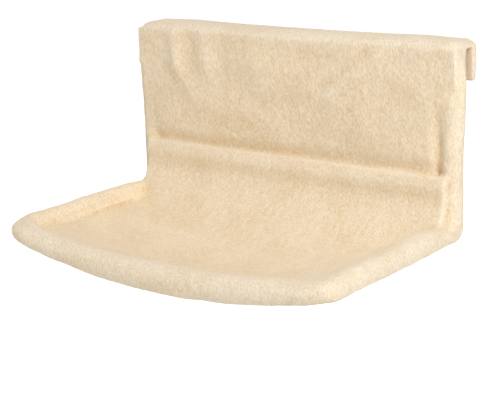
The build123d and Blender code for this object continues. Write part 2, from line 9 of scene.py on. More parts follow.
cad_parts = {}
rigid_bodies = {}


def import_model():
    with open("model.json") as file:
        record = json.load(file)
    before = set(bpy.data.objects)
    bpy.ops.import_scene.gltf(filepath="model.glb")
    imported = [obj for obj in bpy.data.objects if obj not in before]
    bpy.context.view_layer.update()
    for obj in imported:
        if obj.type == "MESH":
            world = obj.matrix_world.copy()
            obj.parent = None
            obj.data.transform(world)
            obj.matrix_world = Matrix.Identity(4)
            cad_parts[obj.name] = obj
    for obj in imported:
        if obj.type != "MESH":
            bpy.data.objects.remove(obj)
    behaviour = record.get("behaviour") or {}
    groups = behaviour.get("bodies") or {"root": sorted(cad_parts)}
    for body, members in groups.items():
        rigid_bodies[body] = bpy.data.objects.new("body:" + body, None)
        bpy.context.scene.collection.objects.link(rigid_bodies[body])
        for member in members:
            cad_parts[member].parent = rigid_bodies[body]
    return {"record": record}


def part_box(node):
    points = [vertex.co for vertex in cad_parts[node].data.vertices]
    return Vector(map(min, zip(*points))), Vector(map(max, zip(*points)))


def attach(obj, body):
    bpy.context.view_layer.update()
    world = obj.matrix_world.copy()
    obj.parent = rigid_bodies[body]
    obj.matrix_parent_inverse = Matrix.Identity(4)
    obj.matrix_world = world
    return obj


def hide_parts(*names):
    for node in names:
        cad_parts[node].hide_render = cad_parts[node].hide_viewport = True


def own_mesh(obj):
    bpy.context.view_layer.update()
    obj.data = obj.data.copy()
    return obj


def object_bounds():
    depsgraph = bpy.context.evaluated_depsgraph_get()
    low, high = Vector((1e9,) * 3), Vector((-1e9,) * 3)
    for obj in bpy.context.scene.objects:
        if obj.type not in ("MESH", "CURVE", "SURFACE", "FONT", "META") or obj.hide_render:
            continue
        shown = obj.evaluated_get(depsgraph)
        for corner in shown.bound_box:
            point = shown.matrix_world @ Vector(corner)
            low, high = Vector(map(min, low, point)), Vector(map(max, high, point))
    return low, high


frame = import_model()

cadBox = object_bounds()
mm = 0.001

# What the frame gives: the places of the cloth, in metres.
sleeveLow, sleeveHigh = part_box("right_upright_sleeve")
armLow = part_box("right_arm_sleeve")[0]
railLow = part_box("front_roll")[0]
flapLow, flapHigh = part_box("flap_plush")
backLow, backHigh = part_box("back_lining")
tapeLow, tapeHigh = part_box("zip_tapes")
teethLow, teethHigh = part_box("zip_teeth")
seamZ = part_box("back_plush")[0].z
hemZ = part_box("flap_lining")[0].z
# The slot inside the flap and the thickness of the linings, as in the solids.
slotHalf = 10 * mm
slotCorner = 3.5 * mm
liningThickness = 2.5 * mm

roll = {
    "radius": (sleeveHigh.x - sleeveLow.x) / 2,
    "x": (sleeveHigh.x + sleeveLow.x) / 2,
    "y": (sleeveHigh.y + sleeveLow.y) / 2,
    "bend": 25 * mm,
    "rearCorner": 5 * mm,  # the sewn corners of the cloth are fuller than the bends of the tube in them
    "frontCorner": 11 * mm,
    "armRise": 3.4 * mm,
    "armSpan": (-20 * mm, -70 * mm),  # the rise on the arms grows between these places
    "sideSwell": 4.2 * mm,
    "swellTop": (-6 * mm, -28 * mm),
    "swellFoot": (-150 * mm, -28 * mm),
    "frontDip": 14 * mm,  # the middle of the front rail hangs this far below its corners
    "slack": 10 * mm,  # and its cloth hangs this far below the rail
    "endSlack": -0.6 * mm,
    "aboveHem": 30 * mm,  # the side rolls end this far over the hem of the flap
    "uprightPoints": 60,
    "bendPoints": 12,
    "armPoints": 80,
    "railPoints": 140,
    "easePoints": 6,  # the corners of the front rail are eased over this many points
    "easeRounds": 12,
    "around": 32,
}
roll["z"] = armLow.z + roll["radius"]
roll["frontY"] = armLow.y + roll["radius"]
roll["bow"] = armLow.y - railLow.y
rollFront = roll["y"] - roll["radius"]
panelHalf = roll["x"] - roll["radius"]


# A linear colour from a hex code.
def hexColour(text):
    parts = [int(text[i:i + 2], 16) / 255 for i in (1, 3, 5)]
    return [c / 12.92 if c <= 0.04045 else ((c + 0.055) / 1.055) ** 2.4 for c in parts] + [1.0]


# Adds a node, sets its properties, then fills its inputs with values or links.
# An input is named by its name, its number, or the identifier of its socket.
def addNode(tree, kind, inputs=None, **settings):
    node = tree.nodes.new(kind)
    for key, value in settings.items():
        setattr(node, key, value)
    for key, value in (inputs or {}).items():
        socket = next((s for s in node.inputs if s.identifier == key), None) or node.inputs[key]
        if isinstance(value, bpy.types.NodeSocket):
            tree.links.new(value, socket)
        else:
            socket.default_value = value
    return node


def mathOf(tree, operation, *values):
    return addNode(tree, "ShaderNodeMath", dict(enumerate(values)), operation=operation).outputs[0]


def addObject(name, data):
    obj = bpy.data.objects.new(name, data)
    bpy.context.scene.collection.objects.link(obj)
    return obj


def newObject(name, vertices, faces, edges=()):
    mesh = bpy.data.meshes.new(name)
    mesh.from_pydata([tuple(v) for v in vertices], edges, [tuple(f) for f in faces])
    mesh.update()
    return addObject(name, mesh)


# Welds what coincides and turns every face outward.
def orient(obj):
    work = bmesh.new()
    work.from_mesh(obj.data)
    bmesh.ops.remove_doubles(work, verts=work.verts, dist=0.01 * mm)
    bmesh.ops.recalc_face_normals(work, faces=work.faces)
    work.to_mesh(obj.data)
    work.free()
    return obj


# Applies every modifier, so that a plain mesh is left.
def bake(obj):
    bpy.context.view_layer.update()
    shown = obj.evaluated_get(bpy.context.evaluated_depsgraph_get())
    mesh = bpy.data.meshes.new_from_object(shown)
    obj.modifiers.clear()
    obj.data = mesh
    return obj


def shadeSmooth(obj):
    obj.data.polygons.foreach_set("use_smooth", [True] * len(obj.data.polygons))
    obj.data.update()


def readAll(items, key, size=3, kind=float):
    values = np.empty(len(items) * size, kind)
    items.foreach_get(key, values)
    return values.reshape(-1, size)


def readPoints(obj):
    return readAll(obj.data.vertices, "co")


def readNormals(obj):
    return readAll(obj.data.vertices, "normal")


def writePoints(obj, co):
    obj.data.vertices.foreach_set("co", co.ravel())
    obj.data.update()


# Moves each point part of the way to the middle of its neighbours, several times.
def relax(obj, rounds, amount=0.5):
    a, b = readAll(obj.data.edges, "vertices", 2, int).T
    co = readPoints(obj)
    count = np.bincount(np.concatenate([a, b]), minlength=len(co))[:, None]
    for _ in range(rounds):
        sums = [np.bincount(a, co[b, k], len(co)) + np.bincount(b, co[a, k], len(co)) for k in range(3)]
        co += (np.stack(sums, -1) / np.maximum(count, 1) - co) * amount
    writePoints(obj, co)


# Smooth noise from -1 to 1 at each point, with features of about that size.
def swell(points, size, seed, octaves=2, stretch=(1, 1, 1)):
    shift = Vector((seed * 7.31, seed * 3.77, seed * 5.13))
    scaled = points / (np.array(stretch) * size)
    return np.array([noise.fractal(Vector(p) + shift, 1.0, 2.0, octaves) for p in scaled])


def smoothstep(low, high, value):
    t = np.clip((value - low) / (high - low), 0, 1)
    return t * t * (3 - 2 * t)


# From 0 to 1 as the value crosses a span, whose two ends are counted from a start.
def over(span, value, start=0):
    return smoothstep(start + span[0], start + span[1], value)


def bell(value, width):
    return np.exp(-((value / width) ** 2))


# Faces between closed rings of points; the two ends are closed too.
def joinRings(name, rings):
    count = len(rings[0])
    faces = []
    for i in range(len(rings) - 1):
        for j in range(count):
            n = (j + 1) % count
            faces.append((i * count + j, i * count + n, (i + 1) * count + n, (i + 1) * count + j))
    last = (len(rings) - 1) * count
    faces.append(tuple(range(count)))
    faces.append(tuple(range(last + count - 1, last - 1, -1)))
    return orient(newObject(name, np.concatenate(rings), faces))


# A round bar along a path, its rings carried without twist. The shape function moves each ring's points.
def tubeAlong(name, points, radius, firstNormal, around, shape):
    points = np.array(points)
    ahead = np.gradient(points, axis=0)
    ahead /= np.linalg.norm(ahead, axis=1)[:, None]
    normal = np.array(firstNormal, float)
    rings = []
    for place, forward in zip(points, ahead):
        normal = normal - forward * (normal @ forward)
        normal /= np.linalg.norm(normal)
        side = np.cross(forward, normal)
        ring = []
        for j in range(around):
            angle = 2 * pi * j / around
            point = place + radius * (cos(angle) * normal + sin(angle) * side)
            ring.append(shape(point, place))
        rings.append(np.array(ring))
    return joinRings(name, rings)


# A closed slab between two equal grids of points.
def slabFrom(name, front, back):
    rows, columns = front.shape[:2]
    vertices = np.concatenate([front.reshape(-1, 3), back.reshape(-1, 3)])
    offset = rows * columns
    faces = []
    for i in range(rows - 1):
        for j in range(columns - 1):
            quad = (i * columns + j, i * columns + j + 1, (i + 1) * columns + j + 1, (i + 1) * columns + j)
            faces.append(quad)
            faces.append(tuple(offset + q for q in reversed(quad)))
    rim = list(range(columns))
    rim += [i * columns + columns - 1 for i in range(1, rows)]
    rim += [(rows - 1) * columns + j for j in range(columns - 2, -1, -1)]
    rim += [i * columns for i in range(rows - 2, 0, -1)]
    for a, b in zip(rim, rim[1:] + rim[:1]):
        faces.append((b, a, offset + a, offset + b))
    return orient(newObject(name, vertices, faces))


def arcPoints(centre, start, end, radius, steps=8):
    angles = np.linspace(start, end, steps + 1)
    return [(centre[0] + radius * cos(a), centre[1] + radius * sin(a)) for a in angles]


# The lengths of the steps along one axis of a line or grid of points.
def stepsOf(points, axis=0):
    return np.linalg.norm(np.diff(points, axis=axis), axis=-1)


# The same line with its points spread evenly along it.
def evenly(points, count):
    points = np.array(points)
    along = np.concatenate([[0], np.cumsum(stepsOf(points))])
    wanted = np.linspace(0, along[-1], count)
    return np.stack([np.interp(wanted, along, points[:, k]) for k in range(points.shape[1])], -1)


# Joins closed shells into one even skin.
def unite(name, shells, voxel):
    work = bmesh.new()
    for shell in shells:
        work.from_mesh(shell.data)
    mesh = bpy.data.meshes.new(name)
    work.to_mesh(mesh)
    work.free()
    obj = addObject(name, mesh)
    remesh = obj.modifiers.new("skin", "REMESH")
    remesh.mode = "VOXEL"
    remesh.voxel_size = voxel
    return bake(obj)


# The seat's layers, as the frame has them: arcs from the seam over the turn to the front roll.
seat = {
    "sag": 36 * mm,
    "rimDrop": 4 * mm,
    "rimReach": 32 * mm,
    "middleReach": 66 * mm,
    "turnSagShare": 0.6,
    "rimBulge": 10 * mm,
    "middleBulge": 14 * mm,
    "liningBulge": 4 * mm,
    "edgeProud": 1 * mm,
    "frontRise": 3 * mm,
    "plush": 4 * mm,
    "wadding": 6 * mm,
    "taperShare": 0.85,
    "backing": 1.2 * mm,
    "crest": 5.5 * mm,  # how far the seat cloth swells out just below its seam
    "crestDrop": 12 * mm,
    "crestWidth": 12 * mm,
    "crestSpan": (-60 * mm, -36 * mm),
    "frontShare": 0.9,  # the seat reaches this share of the radius behind the middle of the front rail
    "pastTape": (1 * mm, 6 * mm),
    "tapeGap": 0.3 * mm,
    "behindInset": 1.5 * mm,
    "arcSteps": 60,
}


# The centre of the front rail, from -1 at the left corner to 1 at the right one.
def railPoint(share):
    curve = 1 - share**2
    return roll["x"] * share, roll["frontY"] - roll["bow"] * curve, roll["z"] - roll["frontDip"] * curve


def arcThrough(first, middle, last, steps):
    (ax, ay), (bx, by), (cx, cy) = first, middle, last
    d = 2 * (ax * (by - cy) + bx * (cy - ay) + cx * (ay - by))
    ux = ((ax**2 + ay**2) * (by - cy) + (bx**2 + by**2) * (cy - ay) + (cx**2 + cy**2) * (ay - by)) / d
    uy = ((ax**2 + ay**2) * (cx - bx) + (bx**2 + by**2) * (ax - cx) + (cx**2 + cy**2) * (bx - ax)) / d
    radius = sqrt((ax - ux) ** 2 + (ay - uy) ** 2)
    a, b, c = [np.arctan2(y - uy, x - ux) for x, y in (first, middle, last)]
    turn = (c - a) % (2 * pi)
    if (b - a) % (2 * pi) > turn:
        turn -= 2 * pi
    return arcPoints((ux, uy), a, a + turn, radius, steps)


def bulged(first, last, bulge):
    dy, dz = last[0] - first[0], last[1] - first[1]
    length = sqrt(dy * dy + dz * dz)
    return (first[0] + last[0]) / 2 - dz / length * bulge, (first[1] + last[1]) / 2 + dy / length * bulge


def waddingAt(x):
    return seat["wadding"] * (1 - seat["taperShare"] * min(abs(x) / panelHalf, 1) ** 2)


# One surface of the seat cloth at a station across the bed, set down by drop, rear to front.
def seatLine(x, drop, count, asLining=False):
    share = np.clip(x / panelHalf, -1, 1)
    bowl = 1 - share**2
    rim = roll["z"] - seat["rimDrop"]
    rear = rollFront - seat["edgeProud"]
    reach = seat["rimReach"] + (seat["middleReach"] - seat["rimReach"]) * bowl
    turn = (rear - reach, rim - seat["turnSagShare"] * seat["sag"] * bowl - drop)
    rail = railPoint(share)
    front = (rail[1] + roll["radius"] * seat["frontShare"], rail[2] + seat["frontRise"] - drop)
    hang = (turn[1] + front[1]) / 2 - (rim - seat["sag"] * bowl - drop)
    if asLining:
        past = over(seat["pastTape"], abs(x), tapeHigh.x)
        near = tapeLow.y - seat["tapeGap"]
        start = (near + past * (backHigh.y - seat["behindInset"] - near), tapeHigh.z - liningThickness)
        first = arcThrough(start, bulged(start, turn, seat["liningBulge"]), turn, seat["arcSteps"] // 2)
    else:
        start = (rear + drop, seamZ)
        bulge = seat["rimBulge"] + (seat["middleBulge"] - seat["rimBulge"]) * bowl
        first = arcThrough(start, bulged(start, turn, bulge), turn, seat["arcSteps"])
    return evenly(first + arcThrough(turn, bulged(turn, front, hang), front, seat["arcSteps"])[1:], count)


def seatGrid(dropOf, rows=140, columns=190, half=roll["x"], asLining=False):
    grid = []
    for x in np.linspace(-half, half, columns):
        grid.append(np.column_stack([np.full(rows, x), seatLine(x, dropOf(x), rows, asLining)]))
    return np.array(grid).transpose(1, 0, 2)


def seatShell():
    top = seatGrid(lambda x: 0)
    crest = seat["crest"] * bell(top[..., 2] - (seamZ - seat["crestDrop"]), seat["crestWidth"])
    top[..., 1] -= crest * over(seat["crestSpan"], top[..., 1])
    bottom = seatGrid(lambda x: seat["plush"] + waddingAt(x) + seat["backing"])
    return slabFrom("seatShell", top, bottom)


cheek = {
    "points": 60,
    "kept": 40,
    "below": 2 * mm,
    "inset": 3 * mm,
    "underLining": 2 * mm,
}


# Fills the pocket between the rim of the seat cloth, the bend of the roll beside it and the back lining.
def cheekShell(side):
    outer = side * roll["x"]
    line = seatLine(outer, seat["plush"] / 2, cheek["points"])
    line = line[line[:, 1] > roll["z"] - cheek["below"]][:cheek["kept"]]
    below = np.minimum(line[:, 1] - (roll["z"] + roll["rearCorner"]), 0)
    reach = roll["radius"] + roll["rearCorner"] - cheek["underLining"]
    behind = roll["y"] - roll["rearCorner"] + np.sqrt(reach**2 - below**2)
    grids = []
    for x in (side * (panelHalf - cheek["inset"]), outer):
        rear = np.column_stack([np.full(len(line), x), behind, line[:, 1]])
        grids.append(np.stack([np.column_stack([np.full(len(line), x), line]), rear], 1))
    return slabFrom("cheekShell", *grids)


# Cover: one padded skin round the tubes, the back, the flap and the seat.
cover = {
    "voxel": 2.0 * mm,
    "relaxRounds": 3,
    "hollowRounds": 24,
    "panelCrown": 2.4 * mm,
    "creaseDepth": 5.5 * mm,  # where the back meets the side rolls
    "creaseWidth": 5.5 * mm,
    "leftCreaseShare": 0.12,
    "footDepth": 5 * mm,  # the back falls away above the seam of the seat
    "footHeight": 20 * mm,
    "footEdges": (2 * mm, 4 * mm),  # from the middle and from the inner side of the roll
    "headSpan": (-34 * mm, -6 * mm),  # heights between which the crown ends under the flap
    "creaseSpan": (-40 * mm, -120 * mm),
    "crownPower": 4,
    "panelTop": -2 * mm,
    "panelBelow": 30 * mm,
    "underLining": 1.4 * mm,
    "foldWidth": 11 * mm,
}
# Each soft fold of the back runs between two places, in shares of its half width and height.
# Then come its height in millimetres, and its width as a share of foldWidth.
foldShares = (
    (-0.77, -0.02, -0.75, -0.28, 2.2, 1.0),
    (-0.75, -0.28, -0.63, -0.55, 2.2, 1.1),
    (-0.66, -0.05, -0.66, -0.34, -1.5, 1.2),
    (-0.56, -0.06, -0.50, -0.36, 1.4, 1.2),
    (-0.42, -0.05, -0.44, -0.32, -1.3, 1.3),
    (-0.22, -0.18, -0.10, -0.42, 2.0, 1.7),
    (-0.05, -0.12, 0.26, -0.13, -1.6, 1.2),
    (0.60, -0.06, 0.30, -0.42, 1.5, 0.8),
    (0.50, -0.08, 0.24, -0.36, -1.0, 0.7),
    (0.42, -0.06, 0.16, -0.38, 1.3, 0.8),
    (0.10, -0.45, 0.46, -0.56, 1.3, 1.6),
    (-0.52, -0.62, -0.05, -0.74, 1.8, 1.6),
    (0.36, -0.66, 0.80, -0.78, 1.5, 1.4),
    (0.66, -0.20, 0.86, -0.36, 1.0, 1.2),
)


# Down one upright, along the arm, across the front and back up on the other side.
def frameLine(rear, corner):
    x, y, z, front = roll["x"], roll["y"], roll["z"], roll["frontY"]
    top, turn = flapLow.z + roll["aboveHem"], roll["bendPoints"]
    half = [(-x, y, k) for k in np.linspace(top, z + rear, roll["uprightPoints"])[:-1]]
    half += [(-x, p, q) for p, q in arcPoints((y - rear, z + rear), 0, -pi / 2, rear, turn)]
    half += [(-x, k, z) for k in np.linspace(y - rear, front + corner, roll["armPoints"])[1:-1]]
    half += [(p, q, z) for p, q in arcPoints((-x + corner, front + corner), -pi, -pi / 2, corner, turn)]
    inner = 1 - corner / x
    across = [railPoint(s) for s in np.linspace(-inner, inner, roll["railPoints"])]
    line = np.array(half + across[2:-2] + [(-p[0], p[1], p[2]) for p in reversed(half)])
    first, last = len(half) - roll["easePoints"], roll["easePoints"] - len(half)
    for _ in range(roll["easeRounds"]):
        line[first:last] = (line[first - 1:last - 1] + line[first + 1:last + 1]) / 2
    return line


# The cloth hangs below the front rail, most in the middle. It stands up a little on the arms,
# and swells outward where the right side roll goes under the flap.
def rollCloth(point, place):
    ahead = smoothstep(roll["frontY"] + roll["bend"], roll["frontY"], place[1])
    bend = 1 - min(abs(place[0]) / roll["x"], 1) ** 2
    slack = roll["endSlack"] + (roll["slack"] - roll["endSlack"]) * bend
    above = (1 + (point[2] - place[2]) / roll["radius"]) / 2
    onArm = over(roll["armSpan"], place[1], roll["y"]) * (1 - ahead)
    outward = max((point[0] - place[0]) / roll["radius"], 0) * (place[0] > 0)
    swelling = roll["sideSwell"] * outward * over(roll["swellTop"], place[2])
    swelling *= over(roll["swellFoot"], place[2])
    return point + np.array([swelling, 0, roll["armRise"] * onArm * above - slack * ahead * (1 - above)])


def foldLift(x, z):
    total = np.zeros_like(x)
    for x0, z0, x1, z1, height, width in foldShares:
        start = np.array([x0 * roll["x"], -z0 * seamZ])
        run = np.array([x1 * roll["x"], -z1 * seamZ]) - start
        offset = np.stack([x - start[0], z - start[1]], -1)
        along = np.clip(offset @ run / (run @ run), 0, 1)
        away = np.linalg.norm(offset - along[..., None] * run, axis=-1)
        total = total + height * mm * bell(away, cover["foldWidth"] * width)
    return total


# The front of the back cushion: a low crown, drawn in at its sides and foot.
def panelFront(x, z):
    edge = bell(np.abs(x) - panelHalf, cover["creaseWidth"])
    side = np.where(x < 0, cover["leftCreaseShare"], 1.0)
    foot = smoothstep(seamZ + cover["footHeight"], seamZ, z)
    head = over(cover["headSpan"], z)
    crease = cover["creaseDepth"] * side * edge * over(cover["creaseSpan"], z)
    crown = cover["panelCrown"] * (1 - (np.abs(x) / panelHalf) ** cover["crownPower"]).clip(0, 1) * (1 - head)
    inside = smoothstep(roll["x"] - cover["footEdges"][0], panelHalf - cover["footEdges"][1], np.abs(x))
    return rollFront - crown + crease + foot * cover["footDepth"] * inside


def panelShell(rows=120, columns=260):
    xs = np.linspace(-roll["x"], roll["x"], columns)
    zs = np.linspace(seamZ - cover["panelBelow"], cover["panelTop"], rows)
    x, z = np.meshgrid(xs, zs)
    front = np.stack([x, panelFront(x, z), z], -1)
    back = np.stack([x, np.full_like(x, backHigh.y - cover["underLining"]), z], -1)
    return slabFrom("panelShell", front, back)


flap = {
    "skin": 1.2 * mm,  # the lining lies on the rest of the way to the slot
    "foot": -40 * mm,
    "frontFoot": -15 * mm,
    "riseToFront": 2 * mm,
    "frontRadius": 12 * mm,
    "rearRadius": 13 * mm,
    "hemRadius": 6.5 * mm,
    "endRadius": (8.5 * mm, 11 * mm),  # round the ends of the hooks, left and right
    "cornerRadius": 22 * mm,  # in front of the left hook
    "cornerShare": 0.7,
    "leastTop": 4.5 * mm,
    "sag": 3.3 * mm,  # the cloth over the hooks sinks this much between them
    "frontWiden": (2 * mm, 4 * mm),  # in front of the slot the flap is this much wider than behind it
    "shoulderDrop": (2.4 * mm, 2.0 * mm),  # the top falls a little towards both ends
    "shoulderSpan": (-60 * mm, -8 * mm),
    "cornerSpan": (8 * mm, -6 * mm),
    "widenReach": 40 * mm,
    "rearReach": 4 * mm,
    "rearShare": 0.35,  # the ends of the rear face draw in by this share of their drop
    "middleShare": 0.9,
    "middleStations": 50,
    "endStations": 20,
}


# The flap in section, as (y, z) points round its closed outline.
def flapProfile():
    front, rear, top, hem = flapLow.y, flapHigh.y, flapHigh.z, flapLow.z
    f, r, h = flap["frontRadius"], flap["rearRadius"], flap["hemRadius"]
    inner, crown, corner = slotHalf + flap["skin"], flap["skin"], slotCorner + flap["skin"]
    outline = [(front, flap["foot"]), (front, flap["frontFoot"])]
    outline += arcPoints((front + f, top - f), pi, pi / 2, f)
    outline += arcPoints((rear - r, top - flap["riseToFront"] - r), pi / 2, 0, r)
    outline += arcPoints((rear - h, hem + h), 0, -pi / 2, h)
    outline += arcPoints((inner + h / 2, hem + h / 2), -pi / 2, -pi, h / 2, 4)
    outline += arcPoints((inner - corner, crown - corner), 0, pi / 2, corner, 6)
    outline += arcPoints((-inner + corner, crown - corner), pi / 2, pi, corner, 6)
    outline += [(-inner, flap["foot"])]
    return np.array(outline)


# How far a round end of that radius lies below its flat top.
def endDrop(x, half, radius):
    beyond = np.clip((abs(x) - (half - radius)) / radius, 0, 1)
    return radius * (1 - sqrt(1 - beyond**2))


def flapShell():
    profile = flapProfile()
    half = flapHigh.x
    middle = np.linspace(0, flap["middleShare"], flap["middleStations"])
    stations = np.concatenate([middle, np.linspace(flap["middleShare"], 1, flap["endStations"])[1:]])
    stations = np.concatenate([-stations[:0:-1], stations]) * half
    rings = []
    for x in stations:
        side = int(x > 0)
        drop = endDrop(x, half, flap["endRadius"][side])
        shoulder = flap["shoulderDrop"][side] * over(flap["shoulderSpan"], abs(x), half)
        shoulder += flap["sag"] * (1 - (x / half) ** 2)
        lift = smoothstep(0, flapHigh.z, profile[:, 1])
        corner = endDrop(min(x, 0), half, flap["cornerRadius"]) * flap["cornerShare"]
        corner = corner * over(flap["cornerSpan"], profile[:, 0], roll["y"])
        fallen = profile[:, 1] - (np.maximum(drop, corner) + shoulder) * lift
        z = np.maximum(fallen, np.minimum(profile[:, 1], flap["leastTop"]))
        outer = smoothstep(flapHigh.y - flap["rearReach"], flapHigh.y, profile[:, 0])
        y = profile[:, 0] - outer * drop * flap["rearShare"]
        widen = flap["frontWiden"][side] * smoothstep(half - flap["widenReach"], half, abs(x))
        wider = x + np.sign(x) * widen * smoothstep(0, -slotHalf, y)
        rings.append(np.stack([wider, y, z], -1))
    return joinRings("flapShell", rings)


cloth = {
    "voxel": 5 * mm,
    "frames": 20,
    "settings": {
        "quality": 6,
        "mass": 0.3,
        "air_damping": 3,
        "tension_stiffness": 18,
        "compression_stiffness": 18,
        "shear_stiffness": 8,
        "bending_stiffness": 2.5,
        "vertex_group_mass": "held",
        "use_pressure": True,
        "uniform_pressure_force": 3.0,
        "shrink_min": -0.02,  # the cloth is cut this much larger than the form that it goes round
    },
    "backShare": 0.3,  # how free the back is, and the top of the flap
    "topShare": 0.2,
    "bowlShare": 0.3,
    "mostFree": 0.98,
    "reach": 5 * mm,  # no point moves further than this
    "leastMove": 1e-9,
    "leastFacing": 0.02,
    "backFacing": (0.3, 0.8),
    "backFoot": (0, 12 * mm),
    "backHead": (0, -12 * mm),
    "backEdge": (4 * mm, -18 * mm),
    "bowlFacing": (0.1, 0.6),
    "bowlHead": (0, -14 * mm),
    "bowlEdge": (0, -22 * mm),
    "bowlFront": (0, 26 * mm),
    "topHeight": (2 * mm, 9 * mm),
    "topEdge": (0, -30 * mm),
}


# How free the cloth is at each point: it is held on the tubes and where the lining lies on it.
def freedom(co, normals):
    y, z, aside = co[:, 1], co[:, 2], np.abs(co[:, 0])
    back = over(cloth["backFacing"], -normals[:, 1]) * over(cloth["backFoot"], z, seamZ)
    back *= over(cloth["backHead"], z)
    back *= cloth["backShare"] * over(cloth["backEdge"], aside, panelHalf)
    bowl = over(cloth["bowlFacing"], normals[:, 2]) * over(cloth["bowlHead"], z, seamZ)
    bowl *= cloth["bowlShare"] * over(cloth["bowlEdge"], aside, panelHalf)
    bowl *= over(cloth["bowlFront"], y, roll["frontY"])
    top = cloth["topShare"] * over(cloth["topHeight"], z) * over(cloth["topEdge"], aside, flapHigh.x)
    return np.clip(back + bowl + top, 0, 1)


# Lets the cloth settle under pressure, and gives how far each point of a coarse copy moved.
def settle(shells):
    obj = unite("coverCloth", shells, cloth["voxel"])
    start = readPoints(obj)
    normals = readNormals(obj)
    held = obj.vertex_groups.new(name="held")
    for index, free in enumerate(freedom(start, normals)):
        held.add([index], 1 - cloth["mostFree"] * float(free), "REPLACE")
    modifier = obj.modifiers.new("cloth", "CLOTH")
    for key, value in cloth["settings"].items():
        setattr(modifier.settings, key, value)
    modifier.settings.effector_weights.gravity = 0
    modifier.collision_settings.use_collision = False
    modifier.point_cache.frame_start = 1
    modifier.point_cache.frame_end = cloth["frames"]
    for step in range(1, cloth["frames"] + 1):
        bpy.context.scene.frame_set(step)
    bake(obj)
    bpy.context.scene.frame_set(1)
    move = readPoints(obj) - start
    length = np.linalg.norm(move, axis=1)
    move *= (np.minimum(length, cloth["reach"]) / np.maximum(length, cloth["leastMove"]))[:, None]
    bpy.data.objects.remove(obj)
    print("cloth settled, farthest point moved", round(float(length.max()) / mm, 1), "mm")
    return start, normals, move


# Carries the coarse copy's moves over to the fine skin.
def carryOver(co, normals, settled, near=7, spread=4 * mm):
    start, startNormals, move = settled
    tree = kdtree.KDTree(len(start))
    for index, place in enumerate(start):
        tree.insert(place, index)
    tree.balance()
    shift = np.zeros_like(co)
    for k, place in enumerate(co):
        found = tree.find_n(place, near)
        index = [f[1] for f in found]
        weight = np.exp(-((np.array([f[2] for f in found]) / spread) ** 2))
        weight *= np.clip(startNormals[index] @ normals[k], cloth["leastFacing"], 1)
        shift[k] = weight @ move[index] / weight.sum()
    return shift


# Keeps on each point how far it lies in a hollow (above 0) or on a ridge (below 0), in millimetres.
def markHollows(obj):
    co, normals = readPoints(obj), readNormals(obj)
    relax(obj, cover["hollowRounds"])
    hollow = ((readPoints(obj) - co) * normals).sum(1) / mm
    writePoints(obj, co)
    obj.data.attributes.new("hollow", "FLOAT", "POINT").data.foreach_set("value", hollow)


# The uneven surface of the plush, from broad waves to fine ones: size, height, seed, octaves and stretch.
plushWaves = (
    (48 * mm, 0.9 * mm, 3, 2, (1, 1, 1)),
    (13 * mm, 0.4 * mm, 5, 2, (1, 1, 1.6)),
    (4 * mm, 0.28 * mm, 9, 1, (1, 1, 2.2)),
)
# The folds lie on the back alone, and the waves fade out in the slot, under the seat and along its seam.
fades = {
    "foldFacing": (0.2, 0.7),
    "foldFoot": (-2 * mm, 14 * mm),
    "foldEdge": (2 * mm, -20 * mm),
    "slotFront": (-17 * mm, -12.5 * mm),
    "slotRear": (17 * mm, 13 * mm),
    "slotHead": (7 * mm, 3 * mm),
    "underFacing": (-0.1, -0.4),
    "underEdge": (2 * mm, -3 * mm),
    "underFront": (-6 * mm, 4 * mm),
    "underHead": (10 * mm, 0),
    "topHeight": (0, 8 * mm),
    "topShare": 0.5,
    "seamWidth": 7 * mm,
    "seamShare": 0.6,
}


def backOnly(co, normals):
    facing = over(fades["foldFacing"], -normals[:, 1]) * over(fades["foldFoot"], co[:, 2], seamZ)
    return facing * over(fades["foldEdge"], np.abs(co[:, 0]), roll["x"])


def waveShare(co, normals):
    y, z, aside = co[:, 1], co[:, 2], np.abs(co[:, 0])
    inSlot = over(fades["slotFront"], y) * over(fades["slotRear"], y) * over(fades["slotHead"], z)
    under = over(fades["underFacing"], normals[:, 2]) * over(fades["underEdge"], aside, panelHalf)
    under *= over(fades["underFront"], y, roll["frontY"]) * over(fades["underHead"], z, seamZ)
    share = (1 - inSlot) * (1 - under) * (1 - fades["topShare"] * over(fades["topHeight"], z))
    seam = fades["seamShare"] * bell(z - seamZ, fades["seamWidth"])
    return share * (1 - seam * smoothstep(roll["y"], rollFront, y))


def buildCover():
    shells = [panelShell(), flapShell(), seatShell(), cheekShell(-1), cheekShell(1)]
    for rear, corner in ((roll["bend"], roll["bend"]), (roll["rearCorner"], roll["frontCorner"])):
        line = frameLine(rear, corner)
        shells.append(tubeAlong("rails", line, roll["radius"], (0, -1, 0), roll["around"], rollCloth))
    obj = unite("plush_cover", shells, cover["voxel"])
    relax(obj, cover["relaxRounds"])
    co, normals = readPoints(obj), readNormals(obj)
    print("cover skin", len(co), "points")
    co += carryOver(co, normals, settle(shells))
    for shell in shells:
        bpy.data.objects.remove(shell)
    co[:, 1] -= foldLift(co[:, 0], co[:, 2]) * backOnly(co, normals)
    raised = 0
    for size, height, seed, octaves, stretch in plushWaves:
        raised = raised + swell(co, size, seed, octaves, stretch) * height
    co += normals * (raised * waveShare(co, normals))[:, None]
    writePoints(obj, co)
    shadeSmooth(obj)
    markHollows(obj)
    return obj


